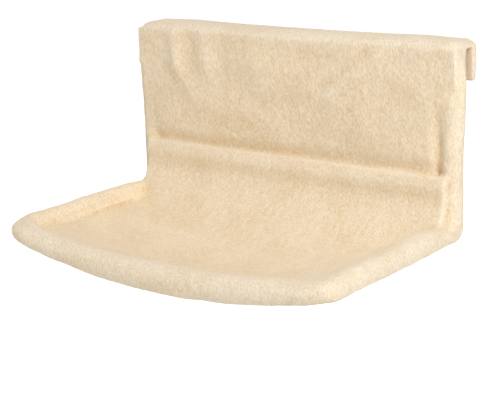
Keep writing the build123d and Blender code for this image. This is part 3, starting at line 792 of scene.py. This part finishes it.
# The linings: thin woven cloth, sewn to the cover along the edges.
lining = {
    "thickness": 1.2 * mm,
    "wave": 0.9 * mm,  # how far the cloth stands off the flat, only towards the cover
    "waveSize": 38 * mm,
    "pucker": 0.35 * mm,  # the small waves between the stitches at the edges
    "puckerSize": 8 * mm,
    "hem": 7 * mm,
    "looseSpan": (0.6, 2.4),  # in hems from the edge
    "sewnWidth": 0.8,
    "half": 210 * mm,
    "seatHalf": 213 * mm,
    "seatDrop": 3.0 * mm,  # its outer face under the wadding
    "tuck": 0.8 * mm,  # how far the side edges are drawn in at the lower rear corners
    "tuckSpan": (-16 * mm, -8 * mm),
    "besideTape": (2 * mm, 16 * mm),
    "turnDepth": (-90 * mm, -50 * mm),
    "turnHeight": (10 * mm, -20 * mm),
    "footInsets": (2.4 * mm, 0.8 * mm),  # the foot of the back lining turns in under the back
    "footDrops": (1.5 * mm, 1.2 * mm),
}


# A sheet of lining on a grid of points, with its UV map in metres. It gets its thickness inward.
def sheetFrom(name, grid, inward, seed):
    rows, columns = grid.shape[:2]
    normal = np.cross(np.gradient(grid, axis=1), np.gradient(grid, axis=0))
    normal /= np.linalg.norm(normal, axis=2)[..., None]
    normal *= np.sign(normal[0, columns // 2] @ np.array(inward))
    u = np.pad(np.cumsum(stepsOf(grid, 1), axis=1), ((0, 0), (1, 0)))
    v = np.pad(np.cumsum(stepsOf(grid), axis=0), ((1, 0), (0, 0)))
    edge = np.minimum(np.minimum(u, u[:, -1:] - u), np.minimum(v, v[-1:] - v))
    points = grid.reshape(-1, 3)
    wave = (swell(points, lining["waveSize"], seed) + 1).reshape(rows, columns) * 0.5 * lining["wave"]
    pucker = (swell(points, lining["puckerSize"], seed + 1, 1) + 1).reshape(rows, columns)
    pucker = pucker * 0.5 * lining["pucker"]
    near, far = (lining["hem"] * share for share in lining["looseSpan"])
    loose = smoothstep(near, far, edge)
    sewn = bell(edge - lining["hem"], lining["hem"] * lining["sewnWidth"])
    face = grid + normal * (wave * loose + pucker * sewn)[..., None]
    obj = slabFrom(name, face, face + normal * lining["thickness"])
    corner = readAll(obj.data.loops, "vertex_index", 1, int)[:, 0]
    flat = np.stack([u.ravel(), v.ravel()], -1)[corner % (rows * columns)]
    obj.data.uv_layers.new(name="metres").data.foreach_set("uv", flat.ravel())
    shadeSmooth(obj)
    return obj


# Beside the zip the linings turn the lower rear corner with the roll that they are sewn to.
def turnCorner(grid):
    x, y, z = np.moveaxis(grid, -1, 0)
    beside = over(lining["besideTape"], np.abs(x), tapeHigh.x)
    beside *= over(lining["turnDepth"], y) * over(lining["turnHeight"], z, seamZ)
    tuck = lining["tuck"] * over(lining["tuckSpan"], np.abs(x), roll["x"])
    reach = roll["radius"] + roll["rearCorner"] - tuck
    out = np.maximum(y - (roll["y"] - roll["rearCorner"]), 0)
    down = np.minimum(z - (roll["z"] + roll["rearCorner"]), 0)
    length = np.maximum(np.hypot(out, down), 0.1 * mm)
    pull = (np.minimum(reach / length, 1) - 1) * beside
    return np.stack([x, y + out * pull, z + down * pull], -1)


# From the foot of the back up, through the top of the slot and down to the hem of the flap.
def backLiningGrid(rows=150, columns=150):
    foot = zip(lining["footInsets"], lining["footDrops"])
    path = [(backHigh.y - inset, backLow.z - drop) for inset, drop in foot]
    path += [(backHigh.y, backLow.z), (backHigh.y, -slotCorner)]
    path += arcPoints((-slotHalf + slotCorner, -slotCorner), pi, pi / 2, slotCorner, 6)[1:]
    path += arcPoints((slotHalf - slotCorner, -slotCorner), pi / 2, 0, slotCorner, 6)
    path += [(slotHalf, hemZ)]
    xs = np.linspace(-lining["half"], lining["half"], columns)
    return turnCorner(np.array([[(x, y, z) for x in xs] for y, z in evenly(path, rows)]))


def seatLiningGrid(rows=90, columns=170):
    def dropOf(x):
        return seat["plush"] + waddingAt(x) + lining["seatDrop"]

    return turnCorner(seatGrid(dropOf, rows, columns, lining["seatHalf"], asLining=True))


# Stitches and zip teeth: one small shape, repeated along lines by Geometry Nodes.
stitch = {
    "pitch": 3.4 * mm,
    "length": 2.5 * mm,
    "width": 0.55 * mm,
    "inset": 6 * mm,
    "tapeInset": 2 * mm,
    "segments": 6,
    "rings": 5,
}
tooth = {
    "pitch": 2.0 * mm,
    "width": 1.1 * mm,
    "crossing": 0.6 * mm,  # how far the teeth of one row reach past the middle of the slit
    "level": 2,
    "crease": 0.7,
}


# A tree with those sizes as inputs, and points along its object's lines, one pitch apart.
def newTree(name, *sizes):
    tree = bpy.data.node_groups.new(name, "GeometryNodeTree")
    tree.interface.new_socket("Geometry", in_out="INPUT", socket_type="NodeSocketGeometry")
    for size in ("Pitch", *sizes):
        tree.interface.new_socket(size, in_out="INPUT", socket_type="NodeSocketFloat")
    tree.interface.new_socket("Geometry", in_out="OUTPUT", socket_type="NodeSocketGeometry")
    given = addNode(tree, "NodeGroupInput").outputs
    curve = addNode(tree, "GeometryNodeMeshToCurve", {"Mesh": given["Geometry"]})
    points = addNode(tree, "GeometryNodeResampleCurve", {
        "Curve": curve.outputs["Curve"], "Length": given["Pitch"]}, mode="LENGTH")
    return tree, given, points.outputs["Curve"]


# Ends the tree with real faces in one material, runs it on the object and leaves a plain mesh.
def runTree(obj, tree, instances, material, values):
    real = addNode(tree, "GeometryNodeRealizeInstances", {"Geometry": instances})
    smooth = addNode(tree, "GeometryNodeSetShadeSmooth", {"Geometry": real.outputs["Geometry"]})
    made = addNode(tree, "GeometryNodeSetMaterial", {
        "Geometry": smooth.outputs["Geometry"], "Material": material})
    addNode(tree, "NodeGroupOutput", {"Geometry": made.outputs["Geometry"]})
    modifier = obj.modifiers.new("repeat", "NODES")
    modifier.node_group = tree
    for item in tree.interface.items_tree:
        if item.name in values:
            modifier[item.identifier] = values[item.name]
    return bake(obj)


def stitchTree():
    tree, given, points = newTree("stitches", "Length", "Width")
    bead = addNode(tree, "GeometryNodeMeshUVSphere", {
        "Segments": stitch["segments"], "Rings": stitch["rings"], "Radius": 0.5})
    size = addNode(tree, "ShaderNodeCombineXYZ", {
        "X": given["Width"], "Y": given["Width"], "Z": given["Length"]})
    ahead = addNode(tree, "GeometryNodeInputTangent")
    turn = addNode(tree, "FunctionNodeAlignRotationToVector", {"Vector": ahead.outputs["Tangent"]}, axis="Z")
    laid = addNode(tree, "GeometryNodeInstanceOnPoints", {
        "Points": points, "Instance": bead.outputs["Mesh"], "Rotation": turn.outputs["Rotation"],
        "Scale": size.outputs["Vector"]})
    return tree, laid.outputs["Instances"]


def toothTree():
    tree, given, points = newTree("teeth", "Width", "Length", "Height", "Shift")
    index = addNode(tree, "GeometryNodeInputIndex").outputs["Index"]
    sign = mathOf(tree, "MULTIPLY_ADD", mathOf(tree, "MODULO", index, 2.0), 2.0, -1.0)
    offset = addNode(tree, "ShaderNodeCombineXYZ", {"Y": mathOf(tree, "MULTIPLY", sign, given["Shift"])})
    placed = addNode(tree, "GeometryNodeSetPosition", {
        "Geometry": points, "Offset": offset.outputs["Vector"]})
    cube = addNode(tree, "GeometryNodeMeshCube", {"Size": (1, 1, 1)})
    rounded = addNode(tree, "GeometryNodeSubdivisionSurface", {
        "Mesh": cube.outputs["Mesh"], "Level": tooth["level"], "Edge Crease": tooth["crease"]})
    size = addNode(tree, "ShaderNodeCombineXYZ", {
        "X": given["Width"], "Y": given["Length"], "Z": given["Height"]})
    laid = addNode(tree, "GeometryNodeInstanceOnPoints", {
        "Points": placed.outputs["Geometry"], "Instance": rounded.outputs["Mesh"],
        "Scale": size.outputs["Vector"]})
    return tree, laid.outputs["Instances"]


# An object with edges only, one run for each list of points.
def linesObject(name, runs):
    vertices, edges = [], []
    for run in runs:
        first = len(vertices)
        vertices += list(run)
        edges += [(k, k + 1) for k in range(first, len(vertices) - 1)]
    return newObject(name, vertices, [], edges)


# Lines on the visible face of a sheet, a little in from its edges; sides names the edges.
def seamLines(obj, rows, columns, sides):
    face = readPoints(obj)[:rows * columns].reshape(rows, columns, 3)
    down = np.cumsum(stepsOf(face[:, columns // 2]))
    beside = np.cumsum(stepsOf(face[rows // 2]))
    i = int(np.searchsorted(down, stitch["inset"])) + 1
    j = int(np.searchsorted(beside, stitch["inset"])) + 1
    runs = {"left": face[i:-i, j], "right": face[i:-i, -j - 1],
            "first": face[i, j:-j], "last": face[-i - 1, j:-j]}
    return [runs[side] for side in sides]


def buildStitches(name, runs, material):
    tree, instances = stitchTree()
    return runTree(linesObject(name, runs), tree, instances, material,
                   {"Pitch": stitch["pitch"], "Length": stitch["length"], "Width": stitch["width"]})


def buildTeeth(material):
    middle, level = (teethLow.y + teethHigh.y) / 2, (teethLow.z + teethHigh.z) / 2
    length = teethHigh.y - middle + tooth["crossing"]
    line = [(teethLow.x + tooth["width"], middle, level), (teethHigh.x - tooth["width"], middle, level)]
    tree, instances = toothTree()
    values = {"Pitch": tooth["pitch"], "Width": tooth["width"], "Length": length,
              "Height": teethHigh.z - teethLow.z, "Shift": (teethHigh.y - middle - tooth["crossing"]) / 2}
    return runTree(linesObject("zip_tooth_rows", [line]), tree, instances, material, values)


# Materials. Every pattern reads the piece's own Object coordinates, or its UV map in metres.
def newMaterial(name, colour, roughness, **values):
    material = bpy.data.materials.new(name)
    material.use_nodes = True
    tree = material.node_tree
    tree.nodes.clear()
    shader = addNode(tree, "ShaderNodeBsdfPrincipled")
    shader.inputs["Base Color"].default_value = hexColour(colour)
    shader.inputs["Roughness"].default_value = roughness
    for key, value in values.items():
        shader.inputs[key.replace("_", " ")].default_value = value
    addNode(tree, "ShaderNodeOutputMaterial", {"Surface": shader.outputs["BSDF"]})
    return material, tree, shader


def noiseOf(tree, source, size, detail=2.0, stretch=(1, 1, 1)):
    scale = [1 / (size * s) for s in stretch]
    spread = addNode(tree, "ShaderNodeMapping", {"Vector": source, "Scale": scale})
    return addNode(tree, "ShaderNodeTexNoise", {"Vector": spread.outputs["Vector"], "Scale": 1.0,
                                                "Detail": detail}).outputs["Fac"]


def rampOf(tree, value, stops, *colours):
    ramp = addNode(tree, "ShaderNodeValToRGB", {"Fac": value})
    elements = ramp.color_ramp.elements
    while len(elements) < len(stops):
        elements.new(0.5)
    for element, place, colour in zip(elements, stops, colours):
        element.position = place
        element.color = hexColour(colour)
    return ramp.outputs["Color"]


def mixOf(tree, factor, a, b, blend="MIX"):
    node = addNode(tree, "ShaderNodeMix", {"Factor_Float": factor, "A_Color": a, "B_Color": b},
                   data_type="RGBA", blend_type=blend)
    return next(s for s in node.outputs if s.identifier == "Result_Color")


def bumpOf(tree, shader, *layers):
    normal = None
    for height, distance, strength in layers:
        inputs = {"Height": height, "Distance": distance, "Strength": strength}
        if normal:
            inputs["Normal"] = normal
        normal = addNode(tree, "ShaderNodeBump", inputs).outputs["Normal"]
    tree.links.new(normal, shader.inputs["Normal"])


plush = {
    "light": "#FDF2E0",
    "base": "#F1E0C4",
    "deep": "#DDC49A",
    "shade": "#DDBE90",
    "sheen": "#FFF6E8",
    # the size, the detail and the stretch of each pattern
    "streak": (1.6 * mm, 3.0, (1, 1, 2.6)),  # tufts of the pile that lie together, longer up and down
    "clump": (9 * mm, 3.0, (1, 1, 1.5)),
    "nap": (55 * mm, 2.0),  # areas where the pile was stroked another way
    "pile": (0.9 * mm, 1.0, (1, 1, 1.6)),
    # the depth and the strength of each bump
    "pileBump": (0.5 * mm, 0.5),
    "streakBump": (0.9 * mm, 0.75),
    "clumpBump": (1.2 * mm, 0.3),
    "roughness": 0.92,
    "clumpShare": 0.18,
    "napShare": 0.18,
    "hollowShadeShare": 0.35,  # painted shade and light: hollows are painted darker, ridges paler
    "hollowShadeFrom": -0.8,
    "hollowShadeTo": 1.2,
    "tuftStops": (0.38, 0.50, 0.62),
    "clumpStops": (0.34, 0.50, 0.66),
    "napStops": (0.38, 0.52, 0.64),
    "hollowShadeStops": (0.0, 0.4, 1.0),
}


# Short-pile polyester plush, brushed: matt, with a pale sheen at grazing angles.
def plushMaterial():
    material, tree, shader = newMaterial("short_pile_plush", plush["base"], plush["roughness"],
                                         Specular_IOR_Level=0.12, Sheen_Weight=0.45, Sheen_Roughness=0.45)
    shader.inputs["Sheen Tint"].default_value = hexColour(plush["sheen"])
    place = addNode(tree, "ShaderNodeTexCoord").outputs["Object"]
    patterns = ("streak", "clump", "nap", "pile")
    streaks, clumps, nap, pile = [noiseOf(tree, place, *plush[key]) for key in patterns]
    light, base, deep, shade = [plush[key] for key in ("light", "base", "deep", "shade")]
    tufts = rampOf(tree, streaks, plush["tuftStops"], deep, base, light)
    groups = rampOf(tree, clumps, plush["clumpStops"], deep, base, light)
    stroked = rampOf(tree, nap, plush["napStops"], shade, base, light)
    # painted shade: the deeper a point lies in a hollow the darker its colour, and the paler on a ridge, in
    # place of the shade and light that fall there
    hollow = addNode(tree, "ShaderNodeAttribute", attribute_name="hollow").outputs["Fac"]
    depth = addNode(tree, "ShaderNodeMapRange", {
        "Value": hollow, "From Min": plush["hollowShadeFrom"], "From Max": plush["hollowShadeTo"]}).outputs["Result"]
    hollowShading = rampOf(tree, depth, plush["hollowShadeStops"], light, base, shade)
    colour = mixOf(tree, plush["clumpShare"], tufts, groups)
    colour = mixOf(tree, plush["napShare"], colour, stroked)
    colour = mixOf(tree, plush["hollowShadeShare"], colour, hollowShading)
    tree.links.new(colour, shader.inputs["Base Color"])
    bumpOf(tree, shader, (pile, *plush["pileBump"]), (streaks, *plush["streakBump"]),
           (clumps, *plush["clumpBump"]))
    return material


weave = {
    "roughness": 0.85,
    "waver": 0.6,  # how far the threads stray from straight lines
    "slub": 2,  # thicker stretches of a thread show as fine lines: their width and length in threads
    "slubLength": 14,
    "soil": 40 * mm,
    "slubStops": (0.35, 0.62),
    "crossStops": (0.0, 0.7),
    "soilStops": (0.35, 0.6),
    "crossBump": (0.25 * mm, 0.5),
    "slubBump": (0.2 * mm, 0.3),
    "soilBump": (0.8 * mm, 0.2),
    "yarnShare": 0.5,
    "crossShare": 0.35,
    "soilShare": 0.22,
}


# Plain woven polyester: threads over and under each other, thicker threads here and there.
def wovenMaterial(name, light, dark, threads, source):
    material, tree, shader = newMaterial(name, light, weave["roughness"], Specular_IOR_Level=0.25,
                                         Sheen_Weight=0.15)
    place = addNode(tree, "ShaderNodeTexCoord").outputs[source]
    grid = addNode(tree, "ShaderNodeMapping", {"Vector": place, "Scale": (1 / threads,) * 3})
    bands = {"Vector": grid.outputs["Vector"], "Scale": 0.5, "Distortion": weave["waver"], "Detail": 1.0}
    warp = addNode(tree, "ShaderNodeTexWave", bands, bands_direction="X").outputs["Fac"]
    lengthwise = "Y" if source == "UV" else "Z"
    weft = addNode(tree, "ShaderNodeTexWave", bands, bands_direction=lengthwise).outputs["Fac"]
    cross = mathOf(tree, "MULTIPLY", warp, weft)
    slub, long = threads * weave["slub"], weave["slubLength"]
    slubs = noiseOf(tree, place, slub, 2.0, (1, long, long))
    picks = noiseOf(tree, place, slub, 2.0, (long, 1, 1))
    soil = noiseOf(tree, place, weave["soil"], 3.0)
    yarn = mixOf(tree, weave["yarnShare"], rampOf(tree, slubs, weave["slubStops"], dark, light),
                 rampOf(tree, picks, weave["slubStops"], dark, light))
    shaded = mixOf(tree, weave["crossShare"], yarn, rampOf(tree, cross, weave["crossStops"], dark, light))
    colour = mixOf(tree, weave["soilShare"], shaded, rampOf(tree, soil, weave["soilStops"], dark, light))
    tree.links.new(colour, shader.inputs["Base Color"])
    bumpOf(tree, shader, (cross, *weave["crossBump"]), (slubs, *weave["slubBump"]),
           (soil, *weave["soilBump"]))
    return material


hard = {
    "detail": 3.0,
    "patch": 14 * mm,
    "patchShare": 0.5,
    "markStops": (0.35, 0.6),
    "patchStops": (0.3, 0.55),
    "roughSpan": (0.3, 0.7),  # the roughness goes from its least to its most over this much of the patches
    "markStrength": 0.5,
    "patchBump": 3,  # in bumps of the marks
    "patchStrength": 0.12,
}


# Metal, plastic, fibre or thread with fine marks, and roughness that changes from place to place.
def hardMaterial(name, light, dark, roughness, grain, bump, metallic=0.0, stretch=(1, 1, 1)):
    material, tree, shader = newMaterial(name, light, roughness[0], Metallic=metallic)
    place = addNode(tree, "ShaderNodeTexCoord").outputs["Object"]
    marks = noiseOf(tree, place, grain, hard["detail"], stretch)
    patches = noiseOf(tree, place, hard["patch"], hard["detail"])
    colour = mixOf(tree, hard["patchShare"], rampOf(tree, marks, hard["markStops"], dark, light),
                   rampOf(tree, patches, hard["patchStops"], dark, light))
    tree.links.new(colour, shader.inputs["Base Color"])
    rough = addNode(tree, "ShaderNodeMapRange", {
        "Value": patches, "From Min": hard["roughSpan"][0], "From Max": hard["roughSpan"][1],
        "To Min": roughness[0], "To Max": roughness[1]})
    tree.links.new(rough.outputs["Result"], shader.inputs["Roughness"])
    bumpOf(tree, shader, (marks, bump, hard["markStrength"]),
           (patches, bump * hard["patchBump"], hard["patchStrength"]))
    return material


def dress(obj, material):
    obj.data.materials.clear()
    obj.data.materials.append(material)
    return obj


sharpAngle = radians(30)


# A leaf spring that gives way as its button is pressed: a welded, smooth copy of the button's part in spring
# steel, carried by the bed in place of the hidden part.
def buildLeafSpring(node, material):
    spring = addObject(node.replace("button", "leaf"), bpy.data.objects[node].data.copy())
    shadeSmooth(orient(spring))
    spring.data.set_sharp_from_angle(angle=sharpAngle)
    dress(spring, material)
    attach(spring, "bed")
    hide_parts(node)
    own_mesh(spring)


# Light and floor. Each lamp has its place, its width and its power.
studio = {
    "key": ((2.2, -1.2, 1.3), 0.9, 46),
    "fill": ((-1.2, -2.2, 0.6), 1.8, 9),
    "top": ((0.2, -0.5, 1.9), 1.4, 6),
    "rear": ((-0.8, 2.1, 0.8), 1.8, 9),
    "aim": (0, -0.12, -0.12),
    "world": 0.36,
    "floorDrop": 330 * mm,
    "floorReach": 6,
    "floorGlow": 0.75,
}
# Where the camera aims, how far it stands and how it is turned, fitted to the outline in the photograph.
view = {
    "target": (-74.0 * mm, -22.3 * mm, -209.7 * mm),
    "distance": 1762.4 * mm,
    "azimuth": radians(37.99),
    "elevation": radians(15.06),
    "turn": radians(-2.22),
    "focalPixels": 1419.6,
    "widthPixels": 491,
    "sensor": 36,
}


def addCamera():
    az, el, turn = view["azimuth"], view["elevation"], view["turn"]
    back = Vector((sin(az) * cos(el), -cos(az) * cos(el), sin(el)))
    right = (-back).cross(Vector((0, 0, 1))).normalized()
    up = right.cross(-back)
    right, up = right * cos(turn) + up * sin(turn), up * cos(turn) - right * sin(turn)
    data = bpy.data.cameras.new("camera")
    data.sensor_width = view["sensor"]
    data.sensor_fit = "HORIZONTAL"
    data.lens = view["focalPixels"] * view["sensor"] / view["widthPixels"]
    camera = addObject("camera", data)
    camera.matrix_world = Matrix((right, up, back)).transposed().to_4x4()
    camera.location = Vector(view["target"]) + back * view["distance"]
    bpy.context.scene.camera = camera


def addLight(name, place, size, watts):
    data = bpy.data.lights.new(name, "AREA")
    data.shape = "DISK"
    data.size = size
    data.energy = watts
    lamp = addObject(name, data)
    lamp.location = place
    lamp.rotation_euler = (Vector(studio["aim"]) - Vector(place)).to_track_quat("-Z", "Y").to_euler()


# Above 0 for the rays by which the camera, gloss or glass looks: they see white, and the rest a soft light.
def seenRays(tree):
    rays = addNode(tree, "ShaderNodeLightPath").outputs
    total = rays["Is Camera Ray"]
    for name in ("Is Glossy Ray", "Is Transmission Ray"):
        total = mathOf(tree, "ADD", total, rays[name])
    return total


def addStudio():
    for name in ("key", "fill", "top", "rear"):
        addLight(name, *studio[name])
    level, reach = cadBox[0][2] - studio["floorDrop"], studio["floorReach"]
    corners = [(x * reach, y * reach, level) for x, y in ((-1, -1), (1, -1), (1, 1), (-1, 1))]
    floor = newObject("floor", corners, [(0, 1, 2, 3)])
    material, tree, shader = newMaterial("pale_floor", "#F4F4F2", 0.9)
    glow = mathOf(tree, "MULTIPLY", seenRays(tree), studio["floorGlow"])
    shader.inputs["Emission Color"].default_value = hexColour("#FFFFFF")
    tree.links.new(glow, shader.inputs["Emission Strength"])
    floor.data.materials.append(material)
    world = bpy.data.worlds.new("studio")
    bpy.context.scene.world = world
    world.use_nodes = True
    tree = world.node_tree
    tree.nodes.clear()
    soft = addNode(tree, "ShaderNodeBackground", {"Color": hexColour("#FFF8EF"), "Strength": studio["world"]})
    white = addNode(tree, "ShaderNodeBackground", {"Color": hexColour("#FFFFFF"), "Strength": 1.0})
    mix = addNode(tree, "ShaderNodeMixShader", {0: seenRays(tree), 1: soft.outputs[0], 2: white.outputs[0]})
    addNode(tree, "ShaderNodeOutputWorld", {"Surface": mix.outputs["Shader"]})
    bpy.context.scene.view_settings.view_transform = "Standard"


addCamera()
addStudio()
print("camera and light placed")

plushCloth = plushMaterial()
# plain weave, drawn with threads of 0.9 mm so that they show: matt, with a faint grid
liningCloth = wovenMaterial("woven_lining", "#E2CFAD", "#C9B18A", 0.9 * mm, "UV")
finishes = {
    "cream_plush": plushCloth,
    "lining_cloth": liningCloth,
    # loose white fibre, so soft and matt
    "polyester_wadding": hardMaterial("polyester_fibre", "#F0EFEA", "#DDDBD2", (0.9, 1.0), 3 * mm, 1.0 * mm),
    # powder coat: a fine orange peel under a satin gloss
    "coated_steel": hardMaterial("powder_coated_steel", "#E4DED0", "#D9D2C2", (0.36, 0.5), 1.4 * mm,
                                 0.08 * mm),
    # bright zinc: cloudy, a little blue
    "zinc_plated_steel": hardMaterial("zinc_plated_steel", "#C3C8CC", "#9EA3A6", (0.28, 0.48), 0.9 * mm,
                                      0.03 * mm, 1.0),
    # drawn and oiled strip: dark, with lines along it
    "spring_steel": hardMaterial("oiled_spring_steel", "#85878B", "#5E6064", (0.3, 0.45), 0.5 * mm,
                                 0.03 * mm, 1.0, (12, 1, 12)),
    # moulded nylon: matt, with a fine sparked grain
    "grey_nylon": hardMaterial("moulded_grey_nylon", "#57575B", "#48484C", (0.5, 0.66), 0.7 * mm, 0.06 * mm),
    # dense narrow tape: a finer grid than the lining's, and darker
    "zip_tape_cloth": wovenMaterial("zip_tape_weave", "#D3BE9C", "#B39A73", 0.7 * mm, "Object"),
    # moulded acetal teeth: smooth, with a soft gloss
    "zip_teeth_plastic": hardMaterial("moulded_teeth", "#DCCBA8", "#CDB98F", (0.3, 0.42), 1.2 * mm,
                                      0.03 * mm),
    # nickel plate: bright, rubbed by the hand
    "zip_metal": hardMaterial("nickel_plated_zinc", "#CFCCC4", "#A8A59C", (0.2, 0.38), 0.5 * mm,
                              0.02 * mm, 1.0, (1, 1, 6)),
}
# sewing thread: twisted polyester, slightly darker than the lining
threadMaterial = hardMaterial("polyester_thread", "#CDB58A", "#AD9468", (0.5, 0.7), 0.4 * mm, 0.1 * mm)
for part in frame["record"]["subparts"]:
    for place in bpy.data.objects[part["node"]].material_slots:
        place.material = finishes[part["material_slot"]]
print("materials made")

for joint in frame["record"]["behaviour"]["joints"]:
    for bent in joint.get("deforming_nodes", []):
        buildLeafSpring(bent["node"], finishes["spring_steel"])
print("leaf springs made")

backSheet, seatSheet = backLiningGrid(), seatLiningGrid()
backLining = sheetFrom("back_lining_sheet", backSheet, (0, -1, 0), seed=21)
seatLining = sheetFrom("seat_lining_sheet", seatSheet, (0, 0, 1), seed=31)
for piece in (backLining, seatLining):
    dress(piece, liningCloth)
backRuns = seamLines(backLining, *backSheet.shape[:2], ("left", "right", "first", "last"))
seatRuns = seamLines(seatLining, *seatSheet.shape[:2], ("left", "right"))
tapeEnds = (tapeLow.x + stitch["inset"], tapeHigh.x - stitch["inset"])
for y in (tapeLow.y + stitch["tapeInset"], tapeHigh.y - stitch["tapeInset"]):
    seatRuns.append([(x, y, tapeLow.z) for x in tapeEnds])
backStitches = buildStitches("back_lining_stitches", backRuns, threadMaterial)
seatStitches = buildStitches("seat_lining_stitches", seatRuns, threadMaterial)
zipTeeth = buildTeeth(finishes["zip_teeth_plastic"])
for piece in (backLining, seatLining, backStitches, seatStitches, zipTeeth):
    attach(piece, "bed")
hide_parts("back_lining", "flap_lining")
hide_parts("seat_lining")
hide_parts("zip_teeth")
print("linings, stitches and zip made")

coverObject = dress(buildCover(), plushCloth)
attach(coverObject, "bed")
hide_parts("flap_plush", "back_plush", "seat_plush", "front_roll", "left_arm_sleeve",
            "right_arm_sleeve", "left_upright_sleeve", "right_upright_sleeve", "back_wadding", "seat_wadding")
print("cover made")
